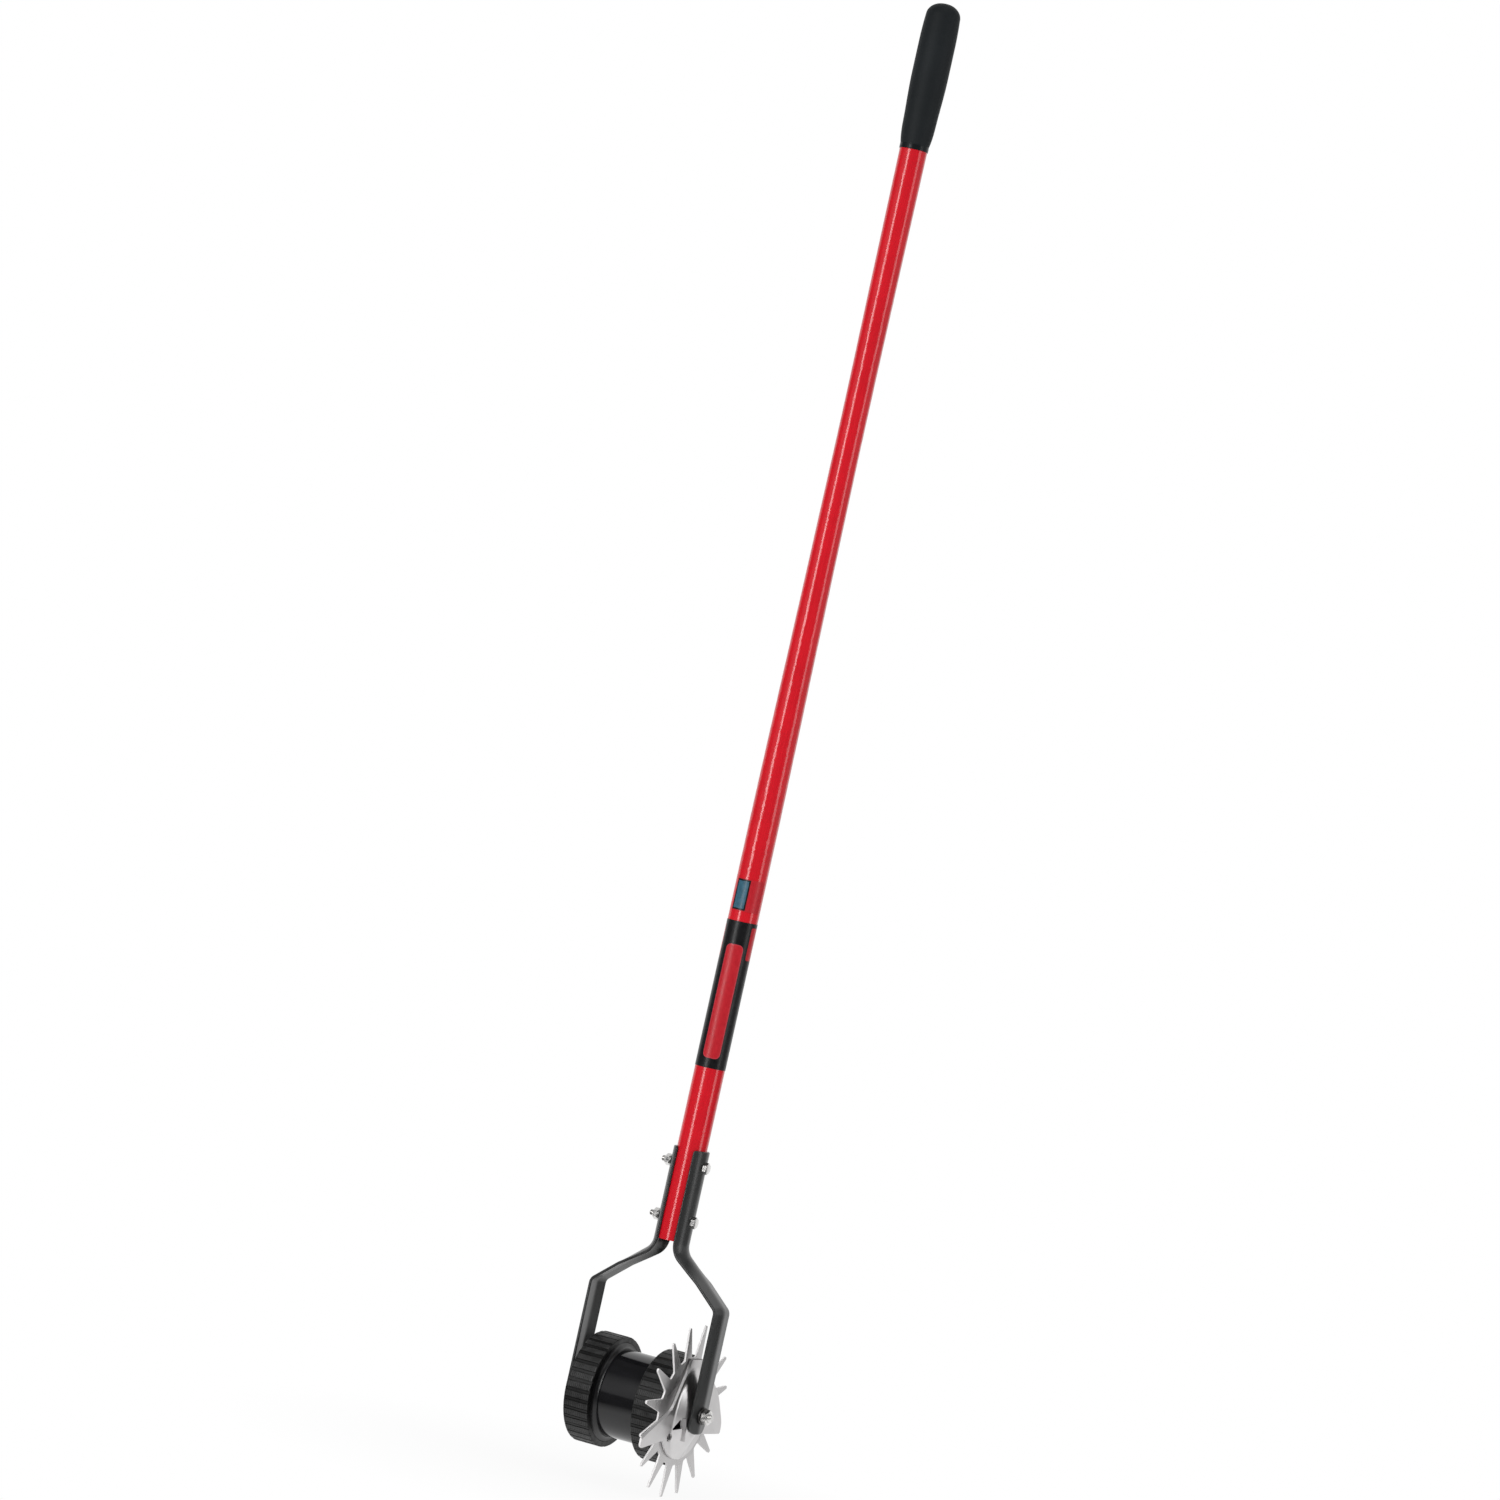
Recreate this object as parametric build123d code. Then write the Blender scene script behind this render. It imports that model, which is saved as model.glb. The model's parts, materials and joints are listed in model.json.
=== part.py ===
from build123d import *
import os
from math import acos, cos, degrees, radians, sin, sqrt

# Rotary lawn edger. Millimetres. X runs along the axle with the star blade at +X, -Y is the front
# and +Z runs up the handle. The pieces are drawn with the axle's centre at zero, and the whole part
# is then lowered so that the origin is the middle of the grip's round, where a hand holds it.

# Fits: snug pieces that stay put, and the roller turning on its sleeve
snug_gap = 0.05
running_gap = 0.03
free_gap = 0.3

# Handle: a contoured tube from the fork up into the grip
tube_foot_z = 156.0
handle_length = 1219.0
tube_r = 14.75
tube_bore_r = 9.5
straight_length = 355.0
waist_height = 829.0
waist_r = 12.6
neck_r = 13.5
clamp_plug_length = 110.0
top_plug_head = 3.0
top_plug_stem = 25.0

# Cushion grip: collar, swelling body, round hold and domed end
grip_length = 144.5
grip_collar_r = 14.2
grip_collar_height = 5.0
grip_groove_r = 14.0
grip_flare = 0.24
grip_swell_r = 16.5
grip_swell_height = 37.0
grip_r = 17.8
grip_hold_height = 74.0
grip_hold_length = 30.0
grip_shoulder_r = 16.8
grip_shoulder_drop = 13.0
grip_cap = 7.0

# Printed films on the handle, measured up from the axle
film_t = 0.2
band_foot_z = 326.0
band_height = 144.0
small_label_foot_z = 480.0
small_label_height = 31.0
small_label_wrap = 116.0
small_label_facing = 26.5

# Fork arms: a strap that hugs the tube, flattens to a shallow arch, bends out and runs down
strap_t = 2.8
strap_width = 32.5
strap_top_z = 246.0
arch_r = 40.0
ease_steps = 8
bend_drop = 8.0
bend_r = 15.0
shoulder_z = 102.4
shoulder_r = 10.0
leg_inner_x = 69.3
leg_foot_z = -18.5
leg_corner_r = 11.0
strap_corner_r = 3.0

# Clamp bolts through the arms and the tube
clamp_bolt_r = 3.0
clamp_hole_gap = 0.2
clamp_bolt_z = 230.5
clamp_bolt_spacing = 53.5
clamp_head_af = 10.0
clamp_head_h = 4.0
clamp_nut_h = 5.0
clamp_lock_t = 1.6
clamp_lock_r = 5.2
clamp_thread_end = 4.5
hex_bevel = 0.7

# Axle bolt with a low domed head, its nut and washer, and the sleeve that carries the roller
axle_r = 4.0
axle_hole_gap = 0.15
axle_head_r = 7.5
axle_head_h = 3.0
axle_nut_af = 13.0
axle_nut_h = 6.5
axle_thread_end = 3.0
axle_washer_r = 8.5
axle_washer_t = 1.6
sleeve_r = 6.0
sleeve_step_r = 5.2
spacer_r = 9.0

# Roller: two wheels with rubber tyres and a smooth barrel between them
barrel_gap = 47.7
barrel_r = 43.0
barrel_wall = 3.0
collar_length = 4.0
collar_spigot = 5.0
collar_spigot_wall = 3.0
wheel_width = 26.8
rim_r = 48.5
rim_wall = 3.0
web_t = 3.5
web_inset = 2.0
hub_r = 13.0
hub_inner_reach = 11.5
hub_spigot_r = 10.0
hub_spigot_length = 1.8
rib_count = 6
rib_t = 2.5
rib_drop = 4.0
bush_wall = 1.95
bush_flange_r = 9.7
bush_flange_t = 1.5

# Tyres: each pitch of the tread is a broad block and a narrow bar between two grooves
tyre_r = 54.5
tyre_width = 26.8
tyre_shoulder_r = 1.2
tread_pitches = 36
tread_groove = 1.0
tread_depth = 1.2
tread_bar = 2.0

# Star blade and its screws
star_t = 2.0
star_teeth = 16
star_tip_r = 84.5
star_root_r = 53.0
star_tip_round = 1.8
star_base_width = 14.4
star_valley_r = 2.5
star_phase = 264.0
screw_count = 3
screw_circle_r = 35.7
screw_angle = 225.0
screw_r = 2.0
screw_hole_gap = 0.2
screw_head_r = 4.0
screw_length = 16.0
screw_slot = 0.9
screw_slot_length = 4.6
screw_slot_depth = 0.9
boss_r = 4.5

# Stationary shear plate: outline points as (front-to-back, height), front is negative. Its finger and
# wing stop a little short of the star's tips
plate_t = 2.0
plate_round_r = 46.5
tongue_top_z = 51.0
tongue_front_y = -12.0
tongue_back_y = 15.5
tongue_corner_r = 3.0
throat_y = -32.0
throat_z = 2.5
throat_r = 18.0
finger_short = 2.0
finger_top_z = -24.6
finger_foot_z = -35.9
finger_tip_r = 4.5
bevel_land = 0.3
bevel_angle = 45.0
wing_short = 2.0
wing_foot_z = -22.0
wing_foot_r = 2.5
wing_edge_z = -12.0
wing_edge_r = 20.0
wing_shoulder_in = 20.5
wing_shoulder_z = 17.0
wing_shoulder_r = 60.0

# The plate's pressed form: an oval dish that stands off the star round the axle, with a lip by a window
dish_depth = 11.5
dish_middle_z = -4.0
dish_reach = 24.0
dish_half_height = 45.0
dish_top_r = 11.0
dish_blend_r = 5.0
access_hole_r = 4.6
lip_t = 1.6
lip_top_y = -18.1
lip_top_z = -5.0
lip_foot_y = -12.1
lip_foot_z = -27.0
lip_below = 0.9
window_reach = 9.0
window_foot_z = -18.5
window_back_z = -15.0
window_corner_r = 1.0

# Springs and washer on the left of the roller
thrust_washer_t = 1.5
disc_spring_count = 2
disc_spring_h = 1.75
disc_spring_t = 0.9
disc_spring_r = 10.5

# Places worked out from the sizes above
handle_top_z = tube_foot_z + handle_length
tube_top_z = handle_top_z - grip_cap - top_plug_head
grip_foot_z = handle_top_z - grip_length
grip_hold_z = grip_foot_z + grip_hold_height + grip_hold_length / 2
hug_r = tube_r + snug_gap + strap_t / 2
bend_z = tube_foot_z - bend_drop
hug_outer_x = tube_r + snug_gap + strap_t
leg_mid_x = leg_inner_x + strap_t / 2
leg_outer_x = leg_inner_x + strap_t
clamp_heights = [clamp_bolt_z, clamp_bolt_z - clamp_bolt_spacing]
sleeve_bore_r = axle_r + axle_hole_gap
flank_x = barrel_gap / 2
collar_x = flank_x - collar_length
wheel_face_x = flank_x + wheel_width
star_face_x = wheel_face_x + star_t
hub_end_x = wheel_face_x + hub_spigot_length
bush_r = sleeve_r + running_gap + bush_wall
bush_face_x = hub_end_x + bush_flange_t
rim_inner_x = star_face_x + free_gap
plate_seat_x = rim_inner_x + dish_depth
plate_face_x = plate_seat_x + plate_t
washer_x = bush_face_x + free_gap
spring_x = washer_x + thrust_washer_t
left_spacer_x = spring_x + disc_spring_count * disc_spring_h
finger_tip_y = -(star_tip_r - finger_short)
wing_reach_y = star_tip_r - wing_short
wing_shoulder_y = wing_reach_y - wing_shoulder_in
leg_half_chord = (arch_r + strap_t / 2) * sin(strap_width / 2 / arch_r)


def arch_sag(radius):
    """How far the arm's hollow inner face comes in at this distance from its middle."""
    inner = arch_r - strap_t / 2
    return inner - sqrt(inner**2 - radius**2)


def polar(radius, angle):
    """A point across the axle, as (y, z), at an angle from the back towards the top."""
    return radius * cos(radians(angle)), radius * sin(radians(angle))


def lathe_x(*profile):
    """A solid turned about the axle from (x, radius) corners."""
    outline = Polyline(*[(x, 0, r) for x, r in profile], close=True)
    return revolve(make_face(outline), Axis.X)


def ring_x(x0, x1, inner_r, outer_r):
    return lathe_x((x0, inner_r), (x1, inner_r), (x1, outer_r), (x0, outer_r))


def ring_z(z0, z1, inner_r, outer_r):
    outline = Polyline((inner_r, 0, z0), (outer_r, 0, z0), (outer_r, 0, z1), (inner_r, 0, z1), close=True)
    return revolve(make_face(outline), Axis.Z)


def peg_x(x0, x1, radius, y=0.0, z=0.0):
    """A round bar along the axle's direction."""
    bar = Cylinder(radius, x1 - x0, align=(Align.CENTER, Align.CENTER, Align.MIN))
    return Pos(x0, y, z) * Rot(0, 90, 0) * bar


def hex_x(x0, height, across_flats, z=0.0, towards=1):
    """A hexagon head along X from x0, with its outer corners turned off."""
    prism = extrude(RegularPolygon(across_flats / 2, 6, major_radius=False), height)
    blank = Cylinder(across_flats / sqrt(3), height, align=(Align.CENTER, Align.CENTER, Align.MIN))
    crown = chamfer(blank.edges().group_by(Axis.Z)[-1], hex_bevel)
    return Pos(x0, 0, z) * Rot(0, 90 * towards, 0) * (prism & crown)


def across(*points, radius=None):
    """A face across the axle from (y, z) corners, with a fillet radius for each."""
    if radius:
        outline = FilletPolyline(*points, radius=radius, close=True)
    else:
        outline = Polyline(*points, close=True)
    return Plane.YZ * make_face(outline)


def clamp_holes(body):
    """Cuts the two clamp bolts' clearance holes right through a piece."""
    for height in clamp_heights:
        body -= peg_x(-2 * tube_r, 2 * tube_r, clamp_bolt_r + clamp_hole_gap, z=height)
    return body


def handle_tube():
    straight_top = (tube_r, 0, tube_foot_z + straight_length)
    waist = (waist_r, 0, tube_foot_z + waist_height)
    neck = (neck_r, 0, grip_foot_z)
    edges = [
        Line((tube_bore_r, 0, tube_foot_z), (tube_r, 0, tube_foot_z)),
        Line((tube_r, 0, tube_foot_z), straight_top),
        Spline(straight_top, waist, neck, tangents=[(0, 0, 1), (0, 0, 1)]),
        Line(neck, (neck_r, 0, tube_top_z)),
        Line((neck_r, 0, tube_top_z), (tube_bore_r, 0, tube_top_z)),
        Line((tube_bore_r, 0, tube_top_z), (tube_bore_r, 0, tube_foot_z)),
    ]
    return clamp_holes(revolve(make_face(edges), Axis.Z))


def bore_filler(z0, z1):
    """A round filler for the tube's bore."""
    body = Cylinder(tube_bore_r - snug_gap, z1 - z0, align=(Align.CENTER, Align.CENTER, Align.MIN))
    return Pos(0, 0, z0) * body


def clamp_plug():
    return clamp_holes(bore_filler(tube_foot_z, tube_foot_z + clamp_plug_length))


def top_plug():
    head = Cylinder(neck_r, top_plug_head, align=(Align.CENTER, Align.CENTER, Align.MIN))
    return Pos(0, 0, tube_top_z) * head + bore_filler(tube_top_z - top_plug_stem, tube_top_z)


def grip():
    bore = neck_r + snug_gap
    roof_z = tube_top_z + top_plug_head + snug_gap
    collar_top = grip_foot_z + grip_collar_height
    hold_foot = (grip_r, 0, grip_foot_z + grip_hold_height)
    hold_top = (grip_r, 0, grip_foot_z + grip_hold_height + grip_hold_length)
    shoulder = (grip_shoulder_r, 0, handle_top_z - grip_shoulder_drop)
    swell = (grip_swell_r, 0, grip_foot_z + grip_swell_height)
    taper = TangentArc(hold_top, shoulder, tangent=(0, 0, 1))
    edges = [
        Line((bore, 0, grip_foot_z), (grip_collar_r, 0, grip_foot_z)),
        Line((grip_collar_r, 0, grip_foot_z), (grip_collar_r, 0, collar_top)),
        Line((grip_collar_r, 0, collar_top), (grip_groove_r, 0, collar_top)),
        Spline((grip_groove_r, 0, collar_top), swell, hold_foot, tangents=[(grip_flare, 0, 1), (0, 0, 1)]),
        Line(hold_foot, hold_top),
        taper,
        Spline(shoulder, (0, 0, handle_top_z), tangents=[taper % 1, (-1, 0, 0)]),
        Line((0, 0, handle_top_z), (0, 0, roof_z)),
        Line((0, 0, roof_z), (bore, 0, roof_z)),
        Line((bore, 0, roof_z), (bore, 0, grip_foot_z)),
    ]
    return revolve(make_face(edges), Axis.Z)


def label_band():
    return ring_z(band_foot_z, band_foot_z + band_height, tube_r + snug_gap, tube_r + snug_gap + film_t)


def small_label():
    """A film wrapped part of the way round, its middle turned from the front towards the star."""
    inner = tube_r + snug_gap
    top = small_label_foot_z + small_label_height
    corners = [(inner, 0, small_label_foot_z), (inner + film_t, 0, small_label_foot_z)]
    corners += [(inner + film_t, 0, top), (inner, 0, top)]
    film = revolve(make_face(Polyline(*corners, close=True)), Axis.Z, small_label_wrap)
    return Rot(0, 0, small_label_facing - 90 - small_label_wrap / 2) * film


def strap_section(place, radius):
    """The strap's cross-section: a strip of one width bent to an arch, crown towards the place's x."""
    half = degrees(strap_width / 2 / radius)
    outer = radius + strap_t / 2
    inner = radius - strap_t / 2

    def at(r, angle):
        return r * cos(radians(angle)) - radius, r * sin(radians(angle))

    return place * make_face([
        ThreePointArc(at(outer, -half), at(outer, 0), at(outer, half)),
        Line(at(outer, half), at(inner, half)),
        ThreePointArc(at(inner, half), at(inner, 0), at(inner, -half)),
        Line(at(inner, -half), at(outer, -half)),
    ])


def end_corners(strap, end):
    """The two short edges through the strap's thickness at its top or foot."""
    edges = strap.faces().sort_by(Axis.Z)[end].edges()
    return edges.filter_by(GeomType.LINE)


def right_fork_arm():
    hug_foot = strap_section(Pos(hug_r, 0, tube_foot_z), hug_r)
    hug = extrude(hug_foot, strap_top_z - tube_foot_z)
    hug = fillet(end_corners(hug, -1), strap_corner_r)
    bend = Vector(hug_r, 0, bend_z)
    shoulder = Vector(leg_mid_x, 0, shoulder_z)
    middle = (bend + shoulder) / 2
    upper = FilletPolyline((hug_r, 0, tube_foot_z), bend, middle, radius=bend_r)
    lower = FilletPolyline((leg_mid_x, 0, leg_foot_z), shoulder, middle, radius=shoulder_r)
    stations = []
    for step in range(ease_steps + 1):
        share = step / ease_steps
        back = -(upper % share)
        place = Plane(upper @ share, x_dir=Vector(0, 1, 0).cross(back), z_dir=back)
        stations.append(strap_section(place, 1 / ((1 - share) / hug_r + share / arch_r)))
    easing = loft(stations)
    leg = sweep(strap_section(Pos(leg_mid_x, 0, leg_foot_z), arch_r), path=lower)
    leg = fillet(end_corners(leg, 0), leg_corner_r)
    arm = clamp_holes(hug + easing + leg)
    return arm - peg_x(leg_inner_x - leg_half_chord, leg_outer_x + strap_t, sleeve_bore_r)


def left_fork_arm():
    return mirror(right_fork_arm(), about=Plane.YZ)


def clamp_bolts():
    end_x = -(hug_outer_x + clamp_lock_t + clamp_nut_h + clamp_thread_end)
    bolts = []
    for height in clamp_heights:
        shank = peg_x(end_x, hug_outer_x, clamp_bolt_r, z=height)
        bolts.append(shank + hex_x(hug_outer_x, clamp_head_h, clamp_head_af, z=height))
    return Compound(bolts)


def clamp_lock_washers():
    bore = clamp_bolt_r + clamp_hole_gap
    washer = ring_x(-(hug_outer_x + clamp_lock_t), -hug_outer_x, bore, clamp_lock_r)
    return Compound([Pos(0, 0, height) * washer for height in clamp_heights])


def clamp_nuts():
    seat_x = -(hug_outer_x + clamp_lock_t)
    nuts = []
    for height in clamp_heights:
        blank = hex_x(seat_x, clamp_nut_h, clamp_head_af, z=height, towards=-1)
        nuts.append(blank - peg_x(seat_x - 2 * clamp_nut_h, seat_x, clamp_bolt_r + snug_gap, z=height))
    return Compound(nuts)


def axle_bolt():
    end_x = leg_outer_x + axle_washer_t + axle_nut_h + axle_thread_end
    crown = (-(leg_outer_x + axle_head_h), 0, 0)
    rim = (-leg_outer_x, 0, axle_head_r)
    head = make_face([
        TangentArc(crown, rim, tangent=(0, 0, 1)),
        Line(rim, (-leg_outer_x, 0, 0)),
        Line((-leg_outer_x, 0, 0), crown),
    ])
    return peg_x(-leg_outer_x, end_x, axle_r) + revolve(head, Axis.X)


def axle_nut():
    seat_x = leg_outer_x + axle_washer_t
    return hex_x(seat_x, axle_nut_h, axle_nut_af) - peg_x(seat_x, seat_x + axle_nut_h, axle_r + snug_gap)


def axle_washer():
    return ring_x(leg_outer_x, leg_outer_x + axle_washer_t, sleeve_bore_r, axle_washer_r)


def axle_sleeve():
    """A spacer tube between the arms, stepped down where the shear plate seats."""
    left_end = -(leg_inner_x - arch_sag(sleeve_r))
    right_end = leg_inner_x - arch_sag(sleeve_step_r)
    return lathe_x(
        (left_end, sleeve_bore_r),
        (right_end, sleeve_bore_r),
        (right_end, sleeve_step_r),
        (plate_seat_x, sleeve_step_r),
        (plate_seat_x, sleeve_r),
        (left_end, sleeve_r),
    )


def left_spacer():
    return ring_x(-(leg_inner_x - arch_sag(spacer_r)), -left_spacer_x, sleeve_r + snug_gap, spacer_r)


def right_spacer():
    return ring_x(plate_face_x, leg_inner_x - arch_sag(spacer_r), sleeve_step_r + snug_gap, spacer_r)


def thrust_washer():
    return ring_x(-spring_x, -washer_x, sleeve_r + snug_gap, disc_spring_r)


def disc_springs():
    """Coned washers, stacked face to face."""
    bore = sleeve_r + snug_gap
    rise = disc_spring_h - disc_spring_t
    springs = []
    for index in range(disc_spring_count):
        near = -(spring_x + index * disc_spring_h)
        inner_lift, outer_lift = (rise, 0) if index % 2 else (0, rise)
        springs.append(lathe_x(
            (near - inner_lift, bore),
            (near - inner_lift - disc_spring_t, bore),
            (near - outer_lift - disc_spring_t, disc_spring_r),
            (near - outer_lift, disc_spring_r),
        ))
    return Compound(springs)


def dish_form(outward):
    """The space on the star's side of the shear plate's pressed face, with the face moved outward."""
    far = 2 * star_tip_r
    corners = [
        (0, 0, 0),
        (plate_seat_x + outward, 0, 0),
        (plate_seat_x + outward, 0, dish_top_r),
        (rim_inner_x + outward, 0, dish_reach),
        (rim_inner_x + outward, 0, far),
        (0, 0, far),
    ]
    section = FilletPolyline(*corners, radius=[0, 0, dish_blend_r, dish_blend_r, 0, 0], close=True)
    turned = revolve(make_face(section), Axis.X)
    return Pos(0, 0, dish_middle_z) * scale(turned, by=(1, 1, dish_half_height / dish_reach))


def ground_edge():
    """What grinding takes off the shear plate's front, from tongue to finger, to leave a cutting edge."""
    top_y = 2 * tongue_front_y - throat_y
    top_z = 2 * tongue_top_z - throat_z
    end_y = 2 * finger_tip_y - throat_y
    end_z = 2 * finger_top_z - throat_z
    front = across(
        (top_y, top_z),
        (throat_y, throat_z),
        (end_y, end_z),
        (end_y, top_z),
        radius=[0, throat_r, 0, 0],
    )
    start_x = rim_inner_x + bevel_land
    return Pos(start_x, 0, 0) * extrude(front, plate_face_x - start_x, taper=-bevel_angle)


def lip_front_y(z):
    """The front of the shear plate's lip at a height."""
    share = (lip_top_z - z) / (lip_top_z - lip_foot_z)
    return lip_top_y + share * (lip_foot_y - lip_top_y)


def shear_plate():
    outline = across(
        (tongue_front_y, tongue_top_z),
        (throat_y, throat_z),
        (finger_tip_y, finger_top_z),
        (finger_tip_y, finger_foot_z),
        (0, wing_foot_z),
        (wing_reach_y, wing_foot_z),
        (wing_reach_y, wing_edge_z),
        (wing_shoulder_y, wing_shoulder_z),
        (tongue_back_y, tongue_top_z),
        radius=[tongue_corner_r, throat_r, finger_tip_r, finger_tip_r, 0,
                wing_foot_r, wing_edge_r, wing_shoulder_r, tongue_corner_r],
    )
    below = Pos(0, wing_foot_z - plate_round_r) * Rectangle(2 * plate_round_r, 2 * plate_round_r)
    outline += Plane.YZ * (Circle(plate_round_r) & below)
    prism = Pos(wheel_face_x, 0, 0) * extrude(outline, leg_outer_x - wheel_face_x)
    hollow = dish_form(0)
    plate = (prism & dish_form(plate_t)) - hollow
    plate -= ground_edge()
    plate -= peg_x(0, leg_outer_x, sleeve_step_r + snug_gap)

    window = across(
        (lip_top_y, lip_top_z),
        (lip_front_y(window_foot_z) - window_reach, window_foot_z),
        (lip_front_y(window_back_z), window_back_z),
        radius=window_corner_r,
    )
    plate -= extrude(window, leg_outer_x)
    hole_y, hole_z = polar(screw_circle_r, screw_angle)
    plate -= peg_x(0, leg_outer_x, access_hole_r, hole_y, hole_z)

    lip_face = across(
        (lip_foot_y, lip_foot_z),
        (lip_foot_y + lip_t, lip_foot_z),
        (lip_top_y + lip_t, lip_top_z),
        (lip_top_y, lip_top_z),
    )
    lip = extrude(lip_face, plate_face_x - lip_below) - hollow
    return plate + lip


def wheel_profile():
    """The right wheel's turned section: collar, flank, rim, web and hub."""
    spigot_r = barrel_r - barrel_wall - snug_gap
    web_x = flank_x + web_inset
    hub_start = flank_x - hub_inner_reach
    bore = bush_r + snug_gap
    bend = collar_length * sqrt(0.5)
    flank_top = barrel_r + collar_length
    edges = [
        Polyline(
            (collar_x, 0, barrel_r),
            (collar_x, 0, spigot_r),
            (collar_x - collar_spigot, 0, spigot_r),
            (collar_x - collar_spigot, 0, spigot_r - collar_spigot_wall),
            (web_x, 0, spigot_r - collar_spigot_wall),
            (web_x, 0, hub_r),
            (hub_start, 0, hub_r),
            (hub_start, 0, bore),
            (hub_end_x, 0, bore),
            (hub_end_x, 0, hub_spigot_r),
            (wheel_face_x, 0, hub_spigot_r),
            (wheel_face_x, 0, hub_r),
            (web_x + web_t, 0, hub_r),
            (web_x + web_t, 0, rim_r - rim_wall),
            (wheel_face_x, 0, rim_r - rim_wall),
            (wheel_face_x, 0, rim_r),
            (flank_x, 0, rim_r),
            (flank_x, 0, flank_top),
        ),
        ThreePointArc(
            (flank_x, 0, flank_top),
            (collar_x + bend, 0, flank_top - bend),
            (collar_x, 0, barrel_r),
        ),
    ]
    return make_face(edges)


def right_wheel():
    wheel = revolve(wheel_profile(), Axis.X)
    web_face = flank_x + web_inset + web_t
    rib_length = rim_r - rim_wall - hub_r
    rib_depth = wheel_face_x - rib_drop - web_face
    rib = Box(rib_depth, rib_length, rib_t, align=(Align.MIN, Align.MIN, Align.CENTER))
    rib = Pos(web_face, hub_r, 0) * rib
    ribs = [Rot(screw_angle + 180 / rib_count + 360 / rib_count * i, 0, 0) * rib for i in range(rib_count)]
    seats = [polar(screw_circle_r, screw_angle + 360 / screw_count * i) for i in range(screw_count)]
    bosses = [peg_x(web_face, wheel_face_x, boss_r, y, z) for y, z in seats]
    wheel = wheel + ribs + bosses
    pilots = [peg_x(web_face, wheel_face_x, screw_r + snug_gap, y, z) for y, z in seats]
    return wheel - pilots


def left_wheel():
    return mirror(right_wheel(), about=Plane.YZ)


def barrel():
    return ring_x(-collar_x, collar_x, barrel_r - barrel_wall, barrel_r)


def right_tyre():
    """A rubber ring: round shoulders, and two grooves across it at each pitch of the tread."""
    inner = rim_r + snug_gap
    section = Circle(tyre_r) - Circle(inner)
    groove = Rectangle(2 * tread_depth, tread_groove)
    step = degrees((tread_bar + tread_groove) / tyre_r)
    cuts = []
    for index in range(tread_pitches):
        for angle in (index * 360 / tread_pitches, index * 360 / tread_pitches + step):
            cuts.append(Rot(0, 0, angle) * Pos(tyre_r, 0) * groove)
    section -= cuts
    treaded = Pos(flank_x, 0, 0) * extrude(Plane.YZ * section, tyre_width)
    blank = ring_x(flank_x, flank_x + tyre_width, inner, tyre_r)
    shoulders = blank.edges().filter_by(GeomType.CIRCLE).sort_by(SortBy.RADIUS)[-2:]
    return treaded & fillet(shoulders, tyre_shoulder_r)


def left_tyre():
    return mirror(right_tyre(), about=Plane.YZ)


def right_bush():
    bore = sleeve_r + running_gap
    return lathe_x(
        (flank_x - hub_inner_reach, bore),
        (bush_face_x, bore),
        (bush_face_x, bush_flange_r),
        (hub_end_x, bush_flange_r),
        (hub_end_x, bush_r),
        (flank_x - hub_inner_reach, bush_r),
    )


def left_bush():
    return mirror(right_bush(), about=Plane.YZ)


def star_blade():
    half = degrees(star_base_width / 2 / star_root_r)
    lean = degrees(acos(star_tip_round / star_tip_r))
    tip_r = star_tip_r - star_tip_round
    foot_r = star_root_r - star_valley_r
    side = polar(star_tip_round, lean)
    tooth = Polyline(
        polar(foot_r, -half),
        (tip_r + side[0], -side[1]),
        (tip_r + side[0], side[1]),
        polar(foot_r, half),
        close=True,
    )
    tooth = make_face(tooth) + Pos(tip_r, 0) * Circle(star_tip_round)
    teeth = [Rot(0, 0, star_phase + 360 / star_teeth * i) * tooth for i in range(star_teeth)]
    section = Circle(star_root_r) + teeth
    section -= Circle(hub_spigot_r + snug_gap)
    blade = Pos(wheel_face_x, 0, 0) * extrude(Plane.YZ * section, star_t)
    valleys = [
        edge
        for edge in blade.edges().filter_by(Axis.X)
        if abs(Vector(0, edge.center().Y, edge.center().Z).length - star_root_r) < star_valley_r
    ]
    blade = fillet(valleys, star_valley_r)
    for i in range(screw_count):
        y, z = polar(screw_circle_r, screw_angle + 360 / screw_count * i)
        blade -= peg_x(wheel_face_x, star_face_x, screw_r + screw_hole_gap, y, z)
        blade -= Pos(0, y, z) * screw_head(screw_hole_gap)
    return blade


def screw_head(ease):
    """A countersunk head flush with the star's face, grown all round by an ease."""
    foot_x = star_face_x - (screw_head_r - screw_r)
    return lathe_x(
        (foot_x, 0),
        (foot_x, screw_r + ease),
        (star_face_x, screw_head_r + ease),
        (star_face_x, 0),
    )


def blade_screws():
    screw = peg_x(star_face_x - screw_length, star_face_x, screw_r) + screw_head(0)
    slot_seat = (Align.MAX, Align.CENTER, Align.CENTER)
    slot = Box(screw_slot_depth, screw_slot_length, screw_slot, align=slot_seat)
    for angle in (0, 90):
        screw -= Pos(star_face_x, 0, 0) * Rot(angle, 0, 0) * slot
    places = [polar(screw_circle_r, screw_angle + 360 / screw_count * i) for i in range(screw_count)]
    return Compound([Pos(0, y, z) * screw for y, z in places])


pieces = [
    handle_tube, clamp_plug, top_plug, grip, label_band, small_label,
    left_fork_arm, right_fork_arm, clamp_bolts, clamp_nuts, clamp_lock_washers,
    axle_bolt, axle_nut, axle_washer, axle_sleeve, left_spacer, right_spacer,
    thrust_washer, disc_springs, shear_plate,
    left_wheel, right_wheel, left_tyre, right_tyre, barrel, left_bush, right_bush,
    star_blade, blade_screws,
]

os.makedirs("parts", exist_ok=True)
for piece in pieces:
    export_step(Pos(0, 0, -grip_hold_z) * piece(), f"parts/{piece.__name__}.step")
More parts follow.
